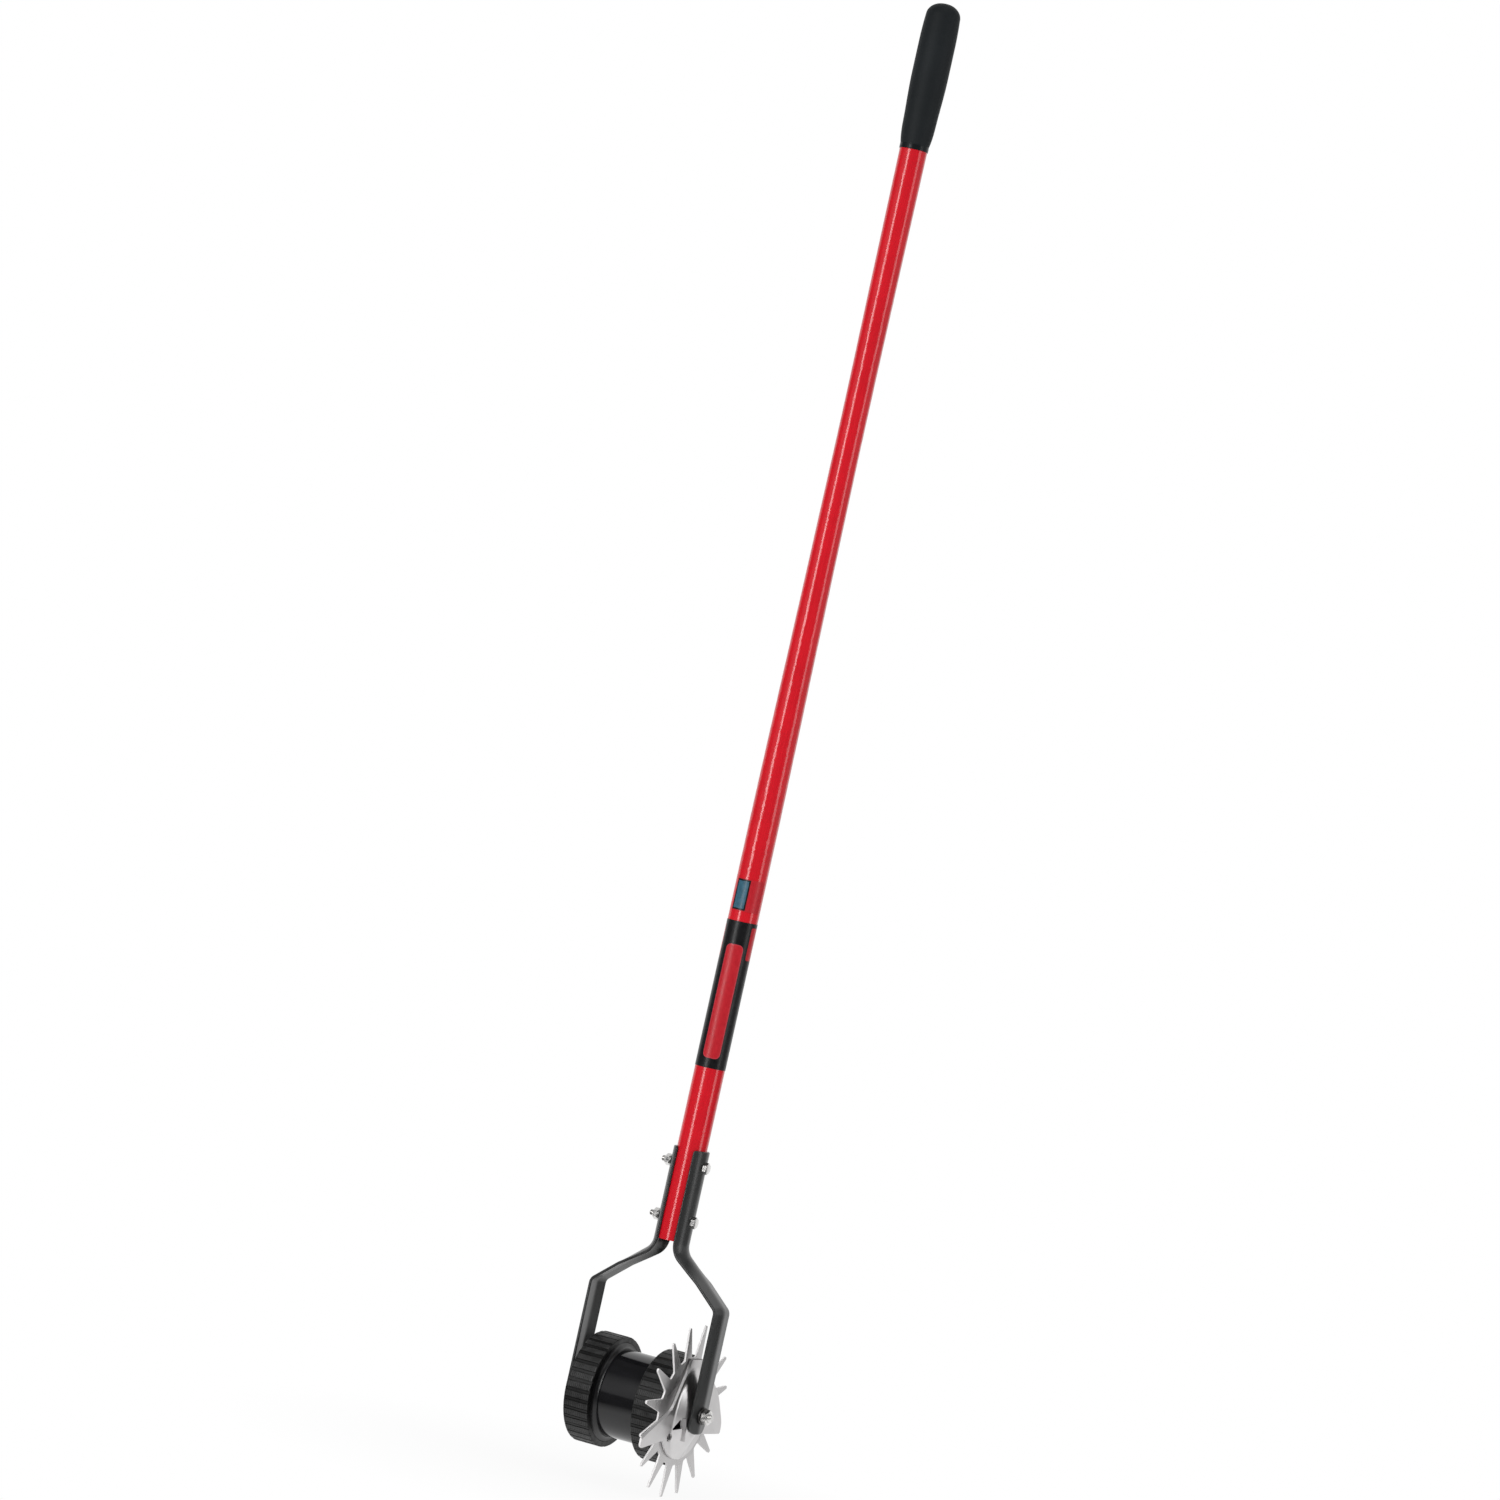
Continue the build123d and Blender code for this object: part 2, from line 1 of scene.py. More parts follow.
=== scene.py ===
"""Rotary lawn edger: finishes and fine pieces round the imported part, and a plain white studio."""

import json
import math

import bmesh
import bpy
from bpy.props import FloatProperty, FloatVectorProperty, IntProperty, PointerProperty
from mathutils import Matrix, Vector


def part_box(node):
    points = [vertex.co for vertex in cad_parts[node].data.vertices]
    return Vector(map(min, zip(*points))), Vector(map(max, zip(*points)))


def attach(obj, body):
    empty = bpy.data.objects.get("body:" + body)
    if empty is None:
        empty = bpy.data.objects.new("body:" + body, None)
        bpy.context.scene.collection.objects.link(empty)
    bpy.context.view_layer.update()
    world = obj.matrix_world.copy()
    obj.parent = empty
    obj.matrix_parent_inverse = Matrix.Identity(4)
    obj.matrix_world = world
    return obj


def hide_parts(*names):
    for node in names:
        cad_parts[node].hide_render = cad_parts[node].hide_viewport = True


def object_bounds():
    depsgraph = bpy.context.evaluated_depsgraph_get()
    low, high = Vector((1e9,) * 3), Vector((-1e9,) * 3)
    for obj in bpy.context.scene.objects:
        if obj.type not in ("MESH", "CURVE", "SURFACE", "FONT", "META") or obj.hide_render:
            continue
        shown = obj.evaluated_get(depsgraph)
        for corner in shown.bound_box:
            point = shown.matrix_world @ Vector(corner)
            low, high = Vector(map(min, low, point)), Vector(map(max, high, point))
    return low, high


bl_info = {
    "name": "Rotary Lawn Edger",
    "version": (1, 0, 0),
    "blender": (4, 5, 0),
    "location": "View3D > Sidebar > Edger",
    "description": "Dresses the rotary lawn edger piece by piece and sets up its studio",
    "category": "Object",
}

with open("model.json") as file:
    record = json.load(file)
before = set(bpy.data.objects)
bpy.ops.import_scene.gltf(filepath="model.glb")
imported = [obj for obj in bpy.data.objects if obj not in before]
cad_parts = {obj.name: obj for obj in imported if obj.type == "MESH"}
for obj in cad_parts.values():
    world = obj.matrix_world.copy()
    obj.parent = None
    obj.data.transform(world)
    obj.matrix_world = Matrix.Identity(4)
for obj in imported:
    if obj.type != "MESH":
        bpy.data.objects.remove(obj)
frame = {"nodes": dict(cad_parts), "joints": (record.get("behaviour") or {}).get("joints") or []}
CAD_LOW, CAD_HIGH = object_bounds()
NODES = frame["nodes"]
AXLE = Vector(next(j for j in frame["joints"] if j["name"] == "roller_spin")["pos_m"])
MM = 0.001
MICRON = 0.000001
SIDES = (("left", -1.0), ("right", 1.0))
SAME_POINT = 1e-7
WHITE = (1.0, 1.0, 1.0, 1.0)


def colour_property(name, description, default):
    return FloatVectorProperty(
        name=name, description=description, default=default, subtype="COLOR", min=0.0, max=1.0
    )


def length_property(name, description, default):
    return FloatProperty(name=name, description=description, default=default, unit="LENGTH", min=0.0)


def count_property(name, description, default, least):
    return IntProperty(name=name, description=description, default=default, min=least)


def studio_property(name, description, default, subtype):
    return FloatProperty(name=name, description=description, default=default, subtype=subtype)


class EdgerColours(bpy.types.PropertyGroup):
    """Colours of the finishes."""

    handle: colour_property("Handle", "Red gelcoat of the fibreglass handle", (0.64, 0.007, 0.017))
    grip: colour_property("Grip", "Soft moulded grip", (0.0115, 0.0145, 0.0165))
    enamel: colour_property("Enamel", "Black enamel of the fork arms", (0.028, 0.029, 0.029))
    moulding: colour_property("Moulding", "Black moulded wheels and barrel", (0.006, 0.006, 0.007))
    rubber: colour_property("Rubber", "Tyre rubber", (0.024, 0.024, 0.024))
    steel: colour_property("Steel", "Bright stamped steel of the star and the shear plate", (0.56, 0.55, 0.55))
    zinc: colour_property("Zinc", "Bright zinc of the bolts and nuts", (0.80, 0.80, 0.80))
    band: colour_property("Band", "Black of the printed handle band", (0.007, 0.007, 0.008))
    panel: colour_property("Panel", "Red panels of the handle band", (0.50, 0.012, 0.022))
    sticker: colour_property("Sticker", "Blue block of the small label", (0.035, 0.115, 0.170))


class EdgerSizes(bpy.types.PropertyGroup):
    """Sizes of the fine detail that the pieces carry."""

    tread_pitches: count_property("Tread pitches", "Block and bar pairs round a tyre", 36, 8)
    tread_groove: length_property("Tread groove", "Width of the grooves across a tyre", 1.0 * MM)
    tread_depth: length_property("Tread depth", "Depth of the grooves across a tyre", 1.2 * MM)
    tread_bar: length_property("Tread bar", "Width of the narrow bar between two grooves", 2.0 * MM)
    tread_lines: count_property("Tread lines", "Fine lines round each tread block", 12, 0)
    tread_line_depth: length_property("Tread line depth", "Depth of the fine lines", 0.3 * MM)
    edge: length_property("Strap edge", "Rounding of the fork arms' edges", 1.1 * MM)
    blade_edge: length_property("Blade edge", "Rounding of the star's edges", 0.2 * MM)
    clamp_pitch: length_property("Clamp pitch", "Thread pitch of the clamp bolts", 1.0 * MM)
    axle_pitch: length_property("Axle pitch", "Thread pitch of the axle bolt", 1.25 * MM)


class EdgerStudio(bpy.types.PropertyGroup):
    """Camera and light."""

    azimuth: studio_property("Azimuth", "Camera's turn from the front towards the star", math.radians(26.5), "ANGLE")
    roll: studio_property("Roll", "Lean of the handle in the picture", math.radians(12.5), "ANGLE")
    field: studio_property("Field of view", "Angle across the picture", math.radians(14.0), "ANGLE")
    scale: length_property("Scale", "Length that a picture point covers at the axle", 0.963 * MM)
    axle_across: studio_property("Axle across", "Axle's place across the picture, as a share of it", 0.4246, "FACTOR")
    axle_down: studio_property("Axle down", "Axle's place down the picture, as a share of it", 0.932, "FACTOR")
    left_power: studio_property("Left strip", "Power of the tall strip lamp at the left", 21.5, "POWER")
    right_power: studio_property("Right strip", "Power of the tall strip lamp at the right", 9.5, "POWER")
    top_power: studio_property("Top lamp", "Power of the lamp overhead", 8.0, "POWER")
    ambient: FloatProperty(name="Ambient", description="Level of the room's even light", default=0.45, min=0.0)


class Wiring:
    """Nodes being wired up in a tree."""

    def __init__(self, tree):
        self.tree = tree

    def node(self, kind, inputs=None, **settings):
        """A node with its settings; an input that is given a socket is linked to it."""
        made = self.tree.nodes.new(kind)
        for key, value in settings.items():
            setattr(made, key, value)
        for key, value in (inputs or {}).items():
            if isinstance(value, bpy.types.NodeSocket):
                self.tree.links.new(value, made.inputs[key])
            else:
                made.inputs[key].default_value = value
        return made

    def maths(self, operation, *values):
        return self.node("ShaderNodeMath", dict(enumerate(values)), operation=operation).outputs[0]

    def vectors(self, operation, *values):
        return self.node("ShaderNodeVectorMath", dict(enumerate(values)), operation=operation).outputs

    def length(self, first, second):
        """Length of the long side over two sides at a right angle."""
        return self.maths("SQRT", self.maths("ADD", self.maths("POWER", first, 2.0), self.maths("POWER", second, 2.0)))

    def spread(self, value, low, high, start=0.3, end=0.7):
        """Maps a value between start and end onto low and high."""
        ends = {"Value": value, "From Min": start, "From Max": end, "To Min": low, "To Max": high}
        return self.node("ShaderNodeMapRange", ends).outputs[0]

    def within(self, value, middle, half, soft):
        """1 where a value is within half of a middle, fading to 0 over a soft border."""
        off = self.maths("ABSOLUTE", self.maths("SUBTRACT", value, middle))
        return self.spread(off, 1.0, 0.0, half, half + soft)

    def shiny(self, path):
        """1 for the rays that shiny and clear pieces send out."""
        return self.maths("MAXIMUM", path["Is Glossy Ray"], path["Is Transmission Ray"])


class Finish(Wiring):
    """A piece's material being wired up, with the shader's fixed values."""

    def __init__(self, name, fixed=None):
        self.material = bpy.data.materials.new(name)
        self.material.use_nodes = True
        super().__init__(self.material.node_tree)
        self.shader = self.tree.nodes["Principled BSDF"]
        for socket, value in (fixed or {}).items():
            self.shader.inputs[socket].default_value = value

    def place(self, stretch=None):
        """Where a point of the piece is, in metres, stretched along an axis if asked."""
        here = self.node("ShaderNodeTexCoord").outputs["Object"]
        if stretch is None:
            return here
        return self.node("ShaderNodeMapping", {"Vector": here, "Scale": stretch}).outputs[0]

    def parts(self):
        """A point's places along X, Y and Z."""
        return self.node("ShaderNodeSeparateXYZ", {0: self.place()}).outputs

    def grain(self, scale, stretch=None, detail=3.0):
        """Soft noise from 0 to 1, with this many waves to the metre."""
        spot = self.place(stretch)
        return self.node("ShaderNodeTexNoise", {"Vector": spot, "Scale": scale, "Detail": detail}).outputs[0]

    def pits(self, scale):
        """Distance to scattered points, for stipple."""
        return self.node("ShaderNodeTexVoronoi", {"Vector": self.place(), "Scale": scale}).outputs[0]

    def over(self, value, under, colour):
        """Lays a colour over another where a value is 1; each is a colour or a socket."""
        under, colour = (c if isinstance(c, bpy.types.NodeSocket) else (*c, 1.0) for c in (under, colour))
        return self.node("ShaderNodeMix", {0: value, 6: under, 7: colour}, data_type="RGBA").outputs[2]

    def tint(self, noise, dark, light):
        """A colour that wanders between two with a noise."""
        return self.over(self.spread(noise, 0.0, 1.0), dark, light)

    def shaded(self, noise, colour, darker, lighter):
        """A colour that wanders about itself with a noise, between two factors."""
        return self.tint(noise, shade(colour, darker), shade(colour, lighter))

    def give(self, socket, value):
        self.tree.links.new(value, self.shader.inputs[socket])

    def relief(self, height, distance, strength):
        """Bump from a height, stacked on any bump that is there already."""
        made = self.node("ShaderNodeBump", {"Height": height, "Distance": distance, "Strength": strength})
        normal = self.shader.inputs["Normal"]
        if normal.is_linked:
            self.tree.links.new(normal.links[0].from_socket, made.inputs["Normal"])
        self.tree.links.new(made.outputs[0], normal)


def shade(colour, factor):
    return tuple(min(1.0, c * factor) for c in colour)


def even_finish(name, tones, gloss, cloud, texture=None, depth=0.0, metallic=0.0):
    """A finish alike all over: cloudy between two tones and two roughnesses, with a fine texture of a depth.

    Cloud and texture are each a grain's scale, stretch and detail.
    """
    skin = Finish(name, {"Metallic": metallic})
    clouds = skin.grain(*cloud)
    skin.give("Base Color", skin.tint(clouds, *tones))
    skin.give("Roughness", skin.spread(clouds, *gloss))
    if texture:
        skin.relief(skin.grain(*texture), depth, strength=0.4)
    return skin.material


def black_enamel(colours):
    """Sprayed and baked enamel on steel strap: glossy, slight orange peel, faint rub marks."""
    tones = shade(colours.enamel, 0.7), shade(colours.enamel, 1.5)
    rub, peel = (60.0, (1.0, 1.0, 0.25), 5.0), (520.0,)
    return even_finish("arm_enamel", tones, gloss=(0.26, 0.34), cloud=rub, texture=peel, depth=20 * MICRON)


def black_moulding(name, colours, gloss):
    """Moulded plastic: faint flow marks and a fine moulded surface."""
    tones = shade(colours.moulding, 0.7), shade(colours.moulding, 1.5)
    flow, fine = (70.0, (0.35, 1.0, 1.0), 4.0), (900.0,)
    uneven, depth = (gloss - 0.03, gloss + 0.05), 100 * MICRON * gloss
    return even_finish(name, tones, gloss=uneven, cloud=flow, texture=fine, depth=depth)


def zinc_plate(colours):
    """Bright zinc plating: silvery with faint cloudy passivation and fine tool marks."""
    warm = colours.zinc[0] * 1.02, colours.zinc[1], colours.zinc[2] * 0.97
    tones = shade(colours.zinc, 0.86), warm
    cloud, marks = (260.0, None, 4.0), (3000.0, (0.1, 1.0, 1.0))
    return even_finish("fastener_zinc", tones, (0.16, 0.34), cloud, texture=marks, depth=20 * MICRON, metallic=1.0)


def dark_steel():
    """Oiled spring steel."""
    tones = (0.05, 0.05, 0.055), (0.11, 0.105, 0.10)
    cloud, fine = (300.0, None, 4.0), (2500.0,)
    return even_finish("dark_steel", tones, (0.3, 0.5), cloud, texture=fine, depth=20 * MICRON, metallic=1.0)


def drawn_steel():
    """Cold-drawn tube: draw lines along the axle."""
    tones, draw = ((0.40, 0.39, 0.38), (0.58, 0.57, 0.56)), (1800.0, (0.02, 1.0, 1.0))
    return even_finish("drawn_steel", tones, (0.28, 0.45), draw, texture=draw, depth=20 * MICRON, metallic=1.0)


def bearing_nylon():
    """Pale self-coloured nylon with a waxy sheen."""
    tones = (0.55, 0.53, 0.47), (0.68, 0.66, 0.60)
    return even_finish("bush_nylon", tones, (0.38, 0.52), cloud=(150.0,), texture=(1200.0,), depth=30 * MICRON)


def plug_plastic():
    """Plain grey stopper."""
    tones = (0.06, 0.06, 0.06), (0.10, 0.10, 0.10)
    return even_finish("plug_plastic", tones, gloss=(0.42, 0.58), cloud=(120.0,))


def red_gelcoat(colours):
    """Pulled fibreglass under a glossy red gelcoat: faint long fibres, slight mottle, fine orange peel."""
    skin = Finish("handle_gelcoat")
    fibres = skin.grain(900.0, stretch=(1.0, 1.0, 0.012), detail=4.0)
    mottle = skin.grain(38.0)
    shown_fibres, shown_mottle = skin.maths("MULTIPLY", fibres, 0.45), skin.maths("MULTIPLY", mottle, 0.55)
    mixed = skin.maths("ADD", shown_fibres, shown_mottle)
    skin.give("Base Color", skin.shaded(mixed, colours.handle, 0.9, 1.07))
    skin.give("Roughness", skin.spread(fibres, 0.13, 0.21))
    for peel in (skin.grain(420.0), fibres):
        skin.relief(peel, 10 * MICRON, strength=0.3)
    return skin.material


def grip_rubber(colours, lip_top):
    """Soft moulded grip: satin and finely stippled, with a smooth shiny lip at its foot."""
    skin = Finish("grip_rubber", {"Specular IOR Level": 0.2})
    rub, fine = skin.grain(26.0), skin.grain(1500.0, detail=4.0)
    body = skin.spread(skin.parts()[2], 0.0, 1.0, lip_top - 0.2 * MM, lip_top + 0.6 * MM)
    worn = skin.shaded(rub, colours.grip, 0.85, 1.15)
    skin.give("Base Color", skin.over(body, shade(colours.grip, 0.7), worn))
    lip_gloss, body_rougher = skin.spread(fine, 0.22, 0.34), 0.34
    skin.give("Roughness", skin.maths("ADD", lip_gloss, skin.maths("MULTIPLY", body, body_rougher)))
    skin.relief(skin.pits(1100.0), 100 * MICRON, strength=0.4)
    skin.relief(fine, 40 * MICRON, strength=0.4)
    return skin.material


def turned_wood():
    """Hardwood dowel: growth rings across its end and pores along it."""
    skin = Finish("plug_wood")
    ring_bend, ring_pace, ring_share = 6 * MM, 2800.0, 0.2
    bend = skin.maths("MULTIPLY", skin.grain(60.0), ring_bend)
    rings = skin.maths("SINE", skin.maths("MULTIPLY", skin.maths("ADD", skin.parts()[0], bend), ring_pace))
    pores = skin.grain(2400.0, stretch=(1.0, 1.0, 0.05))
    both = skin.maths("ADD", skin.maths("MULTIPLY", rings, ring_share), pores)
    skin.give("Base Color", skin.tint(both, (0.36, 0.21, 0.10), (0.60, 0.41, 0.23)))
    skin.give("Roughness", skin.spread(pores, 0.5, 0.75))
    skin.relief(pores, 60 * MICRON, strength=0.5)
    return skin.material


def axle_distance(skin):
    """Distance from the axle's line, in metres."""
    _, along, height = skin.parts()
    return skin.length(along, skin.maths("SUBTRACT", height, AXLE.z))


def tyre_rubber(colours, radius):
    """Tyre rubber: dusty grey crests, grooves painted dark as painted shade, and a fine pebbled skin."""
    skin = Finish("tyre_rubber", {"Specular IOR Level": 0.4})
    dust = skin.grain(160.0, detail=5.0)
    # Painted shade: rubber lying below the crests (grooves, fine lines and lowered bars) is painted far darker than the
    # crests.
    crest_out_of_painted_shade = skin.spread(axle_distance(skin), 0.0, 1.0, radius - 0.45 * MM, radius - 0.08 * MM)
    worn = skin.shaded(dust, colours.rubber, 0.55, 1.6)
    skin.give("Base Color", skin.over(crest_out_of_painted_shade, shade(colours.rubber, 0.12), worn))
    skin.give("Roughness", skin.spread(dust, 0.38, 0.54))
    skin.relief(skin.grain(2200.0), 60 * MICRON, strength=0.5)
    return skin.material


def axle_facing(skin):
    """How far a face looks along the axle: 1 or -1 on a cutter's flat sides, 0 on its edges."""
    normal = skin.node("ShaderNodeNewGeometry").outputs["Normal"]
    return skin.node("ShaderNodeSeparateXYZ", {0: normal}).outputs[0]


def sheared_edges(skin, facing):
    """1 on a cutter's sheared edges, 0 on its flat sides."""
    return skin.spread(skin.maths("ABSOLUTE", facing), 1.0, 0.0, 0.66, 0.72)


def rolled_steel(skin, colours, tone, gloss, sheared):
    """Rolled and stamped steel: fine rolling lines, soft stains, and, where it is sheared, rougher duller metal that is
    also painted near white as a painted highlight.
    """
    sheared_painted_highlight_tone, sheared_rougher, sheared_duller = 1.7, 0.3, 0.8
    lines = skin.grain(1500.0, stretch=(1.0, 1.0, 0.04), detail=4.0)
    stain = skin.grain(45.0, detail=4.0)
    rolled = skin.shaded(stain, shade(colours.steel, tone), 0.9, 1.06)
    # Painted highlight: the sheared edges are painted near white and mostly unmetallic, standing for light caught on
    # the edges.
    skin.give("Base Color", skin.over(sheared, rolled, shade(colours.steel, sheared_painted_highlight_tone)))
    smooth = skin.spread(skin.maths("MULTIPLY", skin.maths("ADD", lines, stain), 0.5), *gloss)
    skin.give("Roughness", skin.maths("ADD", smooth, skin.maths("MULTIPLY", sheared, sheared_rougher)))
    skin.give("Metallic", skin.maths("SUBTRACT", 1.0, skin.maths("MULTIPLY", sheared, sheared_duller)))
    skin.relief(skin.grain(2600.0), 3 * MICRON, strength=0.3)


def star_steel(colours):
    """The star's steel: its sides fall away very slightly from the bore to the roots of the teeth."""
    skin = Finish("star_steel")
    sheared = sheared_edges(skin, axle_facing(skin))
    rolled_steel(skin, colours, tone=0.98, gloss=(0.24, 0.35), sheared=sheared)
    reach = 55.0
    skin.relief(skin.spread(axle_distance(skin), 0.0, reach, 0.0, reach * MM), 36 * MICRON, strength=1.0)
    return skin.material


def plate_steel(colours):
    """The shear plate's steel: the bent lip keeps the face's finish, and two press lines ring the lower face."""
    skin = Finish("plate_steel")
    facing = axle_facing(skin)
    _, along, height = skin.parts()
    lip_across = skin.within(along, -15 * MM, 6 * MM, MM)
    lip_up = skin.within(height, AXLE.z - 16 * MM, 12 * MM, MM)
    unbent = skin.maths("SUBTRACT", 1.0, skin.maths("MULTIPLY", lip_across, lip_up))
    sheared = skin.maths("MULTIPLY", sheared_edges(skin, facing), unbent)
    # Painted light: the plate uses the star's steel but is painted lighter (tone 1.16 against the star's 0.98).
    rolled_steel(skin, colours, tone=1.16, gloss=(0.27, 0.37), sheared=sheared)
    lower = skin.spread(height, 1.0, 0.0, AXLE.z - 22 * MM, AXLE.z - 14 * MM)
    shown = skin.maths("MULTIPLY", skin.spread(facing, 0.0, 1.0, 0.5, 0.8), lower)
    away = axle_distance(skin)
    for press_line in (29.0 * MM, 40.5 * MM):
        crease = skin.within(away, press_line, 0.0, 1.6 * MM)
        skin.relief(skin.maths("MULTIPLY", crease, shown), 100 * MICRON, strength=0.5)
    return skin.material


def film_place(skin, facing):
    """Angle round the handle from a facing, and height, of a point on a film."""
    across, along, height = skin.parts()
    side = skin.maths("ARCTAN2", across, skin.maths("MULTIPLY", along, -1.0))
    return skin.maths("WRAP", skin.maths("SUBTRACT", side, facing), math.pi, -math.pi), height


def rounded_panel(skin, place, radius, box, corner, soft=0.12 * MM):
    """1 inside a panel with rounded corners on a film; box is its two angles and two heights."""
    (turn, height), (left, right, foot, top) = place, box
    across = skin.maths("MULTIPLY", skin.maths("ABSOLUTE", skin.maths("SUBTRACT", turn, (left + right) / 2)), radius)
    up = skin.maths("ABSOLUTE", skin.maths("SUBTRACT", height, (foot + top) / 2))
    past_side = skin.maths("MAXIMUM", skin.maths("SUBTRACT", across, (right - left) / 2 * radius - corner), 0.0)
    past_end = skin.maths("MAXIMUM", skin.maths("SUBTRACT", up, (top - foot) / 2 - corner), 0.0)
    return skin.spread(skin.length(past_side, past_end), 1.0, 0.0, corner - soft, corner + soft)


def worn_film(name, colours):
    """A satin film, faintly worn. Returns its skin, its wear and its red."""
    skin = Finish(name, {"Specular IOR Level": 0.3})
    wear = skin.grain(300.0, detail=5.0)
    skin.give("Roughness", skin.spread(wear, 0.28, 0.4))
    skin.relief(skin.grain(220.0), 10 * MICRON, strength=0.3)
    return skin, wear, skin.shaded(wear, colours.panel, 0.92, 1.06)


def band_print(colours, facing):
    """Printed sleeve: black with a long red panel front and back, and a short red panel beside it."""
    low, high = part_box("label_band")
    skin, wear, red = worn_film("band_film", colours)
    printed = skin.shaded(wear, colours.band, 0.7, 1.4)
    rim = (colours.panel[0], colours.panel[1] * 3, colours.panel[2] * 2.5)
    left, right, rim_turn, rim_width = math.radians(-41), math.radians(26), 0.055, 0.8 * MM
    foot, top = low.z + 9.5 * MM, high.z - 22.5 * MM
    long_box = (left, right, foot, top)
    inner_box = (left + rim_turn, right - rim_turn, foot + rim_width, top - rim_width)
    short_box = (math.radians(44), math.radians(104), high.z - 36 * MM, high.z - 4 * MM)
    for about in (facing, facing + math.pi):
        place = film_place(skin, about)
        for box, corner, ink in ((long_box, 5 * MM, rim), (inner_box, 4.2 * MM, red), (short_box, 2 * MM, red)):
            printed = skin.over(rounded_panel(skin, place, high.x, box, corner), printed, ink)
    skin.give("Base Color", printed)
    return skin.material


def sticker_print(colours, facing):
    """Small label: a plain blue block in a dark border, with red beside it."""
    low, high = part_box("small_label")
    skin, wear, red = worn_film("small_label_film", colours)
    blue = skin.shaded(wear, colours.sticker, 0.8, 1.2)
    place, radius = film_place(skin, facing), 15 * MM
    border = (math.radians(-57), math.radians(-1), low.z + 0.6 * MM, high.z - 0.6 * MM)
    block = (math.radians(-51), math.radians(-7), low.z + 2.2 * MM, high.z - 2.2 * MM)
    bordered = skin.over(rounded_panel(skin, place, radius, border, 0.6 * MM), red, colours.band)
    skin.give("Base Color", skin.over(rounded_panel(skin, place, radius, block, 0.4 * MM), bordered, blue))
    return skin.material


def coat(material, *nodes):
    """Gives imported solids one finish."""
    for node in nodes:
        data = NODES[node].data
        data.materials.clear()
        data.materials.append(material)


def new_piece(name, shape, material, body, stands_for, sharp):
    """A mesh from a gathered shape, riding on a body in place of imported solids; sharp is the angle of its edges."""
    mesh = bpy.data.meshes.new(name)
    mesh.from_pydata(shape.points, [], shape.faces)
    shaped = bmesh.new()
    shaped.from_mesh(mesh)
    bmesh.ops.remove_doubles(shaped, verts=shaped.verts, dist=SAME_POINT)
    bmesh.ops.recalc_face_normals(shaped, faces=shaped.faces)
    shaped.to_mesh(mesh)
    shaped.free()
    mesh.polygons.foreach_set("use_smooth", [True] * len(mesh.polygons))
    mesh.set_sharp_from_angle(angle=math.radians(sharp))
    mesh.materials.append(material)
    piece = bpy.data.objects.new(name, mesh)
    bpy.context.scene.collection.objects.link(piece)
    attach(piece, body)
    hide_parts(*stands_for)
    return piece


class Shape:
    """Points and faces of a piece, gathered ring by ring."""

    def __init__(self):
        self.points = []
        self.faces = []

    def rings(self, rings, joined=False):
        """Quads between rings of points; joined ties the last ring to the first. Returns the first point's number."""
        start, count = len(self.points), len(rings[0])
        for ring in rings:
            self.points += ring
        for r in range(len(rings) if joined else len(rings) - 1):
            below, above = start + r * count, start + (r + 1) % len(rings) * count
            for c in range(count):
                d = (c + 1) % count
                self.faces.append((below + c, below + d, above + d, above + c))
        return start

    def cap(self, start, count, middle):
        """Closes a ring with a fan to a middle point."""
        self.points.append(middle)
        last = len(self.points) - 1
        self.faces += [(start + i, start + (i + 1) % count, last) for i in range(count)]

    def close(self, start, count):
        """Closes a ring with one flat face."""
        self.faces.append(tuple(range(start, start + count)))


def turns(steps):
    """Even steps round a full turn."""
    return [2 * math.pi * i / steps for i in range(steps)]


def on_circle(radius, turn):
    return radius * Vector((math.cos(turn), math.sin(turn)))


def round_x(x, radius, turn, height=0.0):
    """A point round a line along X at a height above the axle; all lengths in millimetres."""
    return (x * MM, radius * MM * math.cos(turn), AXLE.z + (height + radius * math.sin(turn)) * MM)


def hexagon(shape, seat, height, flats, bore, at, way):
    """A hexagon with its corners turned off, on a seat along X; a bore of 0 makes a closed head."""
    steps, flat, side = 72, flats / 2, math.pi / 3
    foot_r, top_r, corner_from, corner_slope = 0.93 * flat, 0.94 * flat, 0.97 * flat, 0.55
    foot_rise, bore_break, middle_r = 0.12, 0.35, 0.5
    columns = []
    for turn in turns(steps):
        reach = flat / math.cos((turn + side / 2) % side - side / 2)
        slope = max(0.0, reach - corner_from) * corner_slope
        under = slope if bore else 0.0
        outline = [(0.0, foot_r), (under + foot_rise, reach), (height - slope, reach), (height, top_r)]
        if bore:
            outline = [(0.0, bore), *outline, (height, bore + bore_break), (height - bore_break, bore)]
        else:
            outline.append((height, middle_r))
        columns.append([round_x(seat + way * x, r, turn, at) for x, r in outline])
    rings = list(zip(*columns))
    start = shape.rings(rings, joined=bool(bore))
    if not bore:
        shape.cap(start + (len(rings) - 1) * steps, steps, round_x(seat + way * height, 0.0, 0.0, at))


def threaded_rod(shape, tip, root, radius, pitch, at, threaded):
    """A rod along X with a helical thread for a length from its tip, which is turned down to a point's start."""
    steps, rows_per_pitch, thread_depth, crest_share, tip_drop = 28, 8, 0.58 * pitch, 1.25, 0.7 * pitch
    way = 1.0 if root > tip else -1.0
    rows = threaded / pitch * rows_per_pitch
    rings = []
    for x in [tip + way * threaded * i / rows for i in range(int(rows) + 1)] + [root]:
        away = abs(x - tip)
        ring = []
        for turn in turns(steps):
            wave = abs((x / pitch - turn / (2 * math.pi)) % 1.0 * 2 - 1)
            depth = thread_depth * min(1.0, wave * crest_share) if away < threaded - pitch else 0.0
            ring.append(round_x(x, radius - max(depth, tip_drop - away), turn, at))
        rings.append(ring)
    start = shape.rings(rings)
    shape.cap(start, steps, round_x(tip, 0.0, 0.0, at))


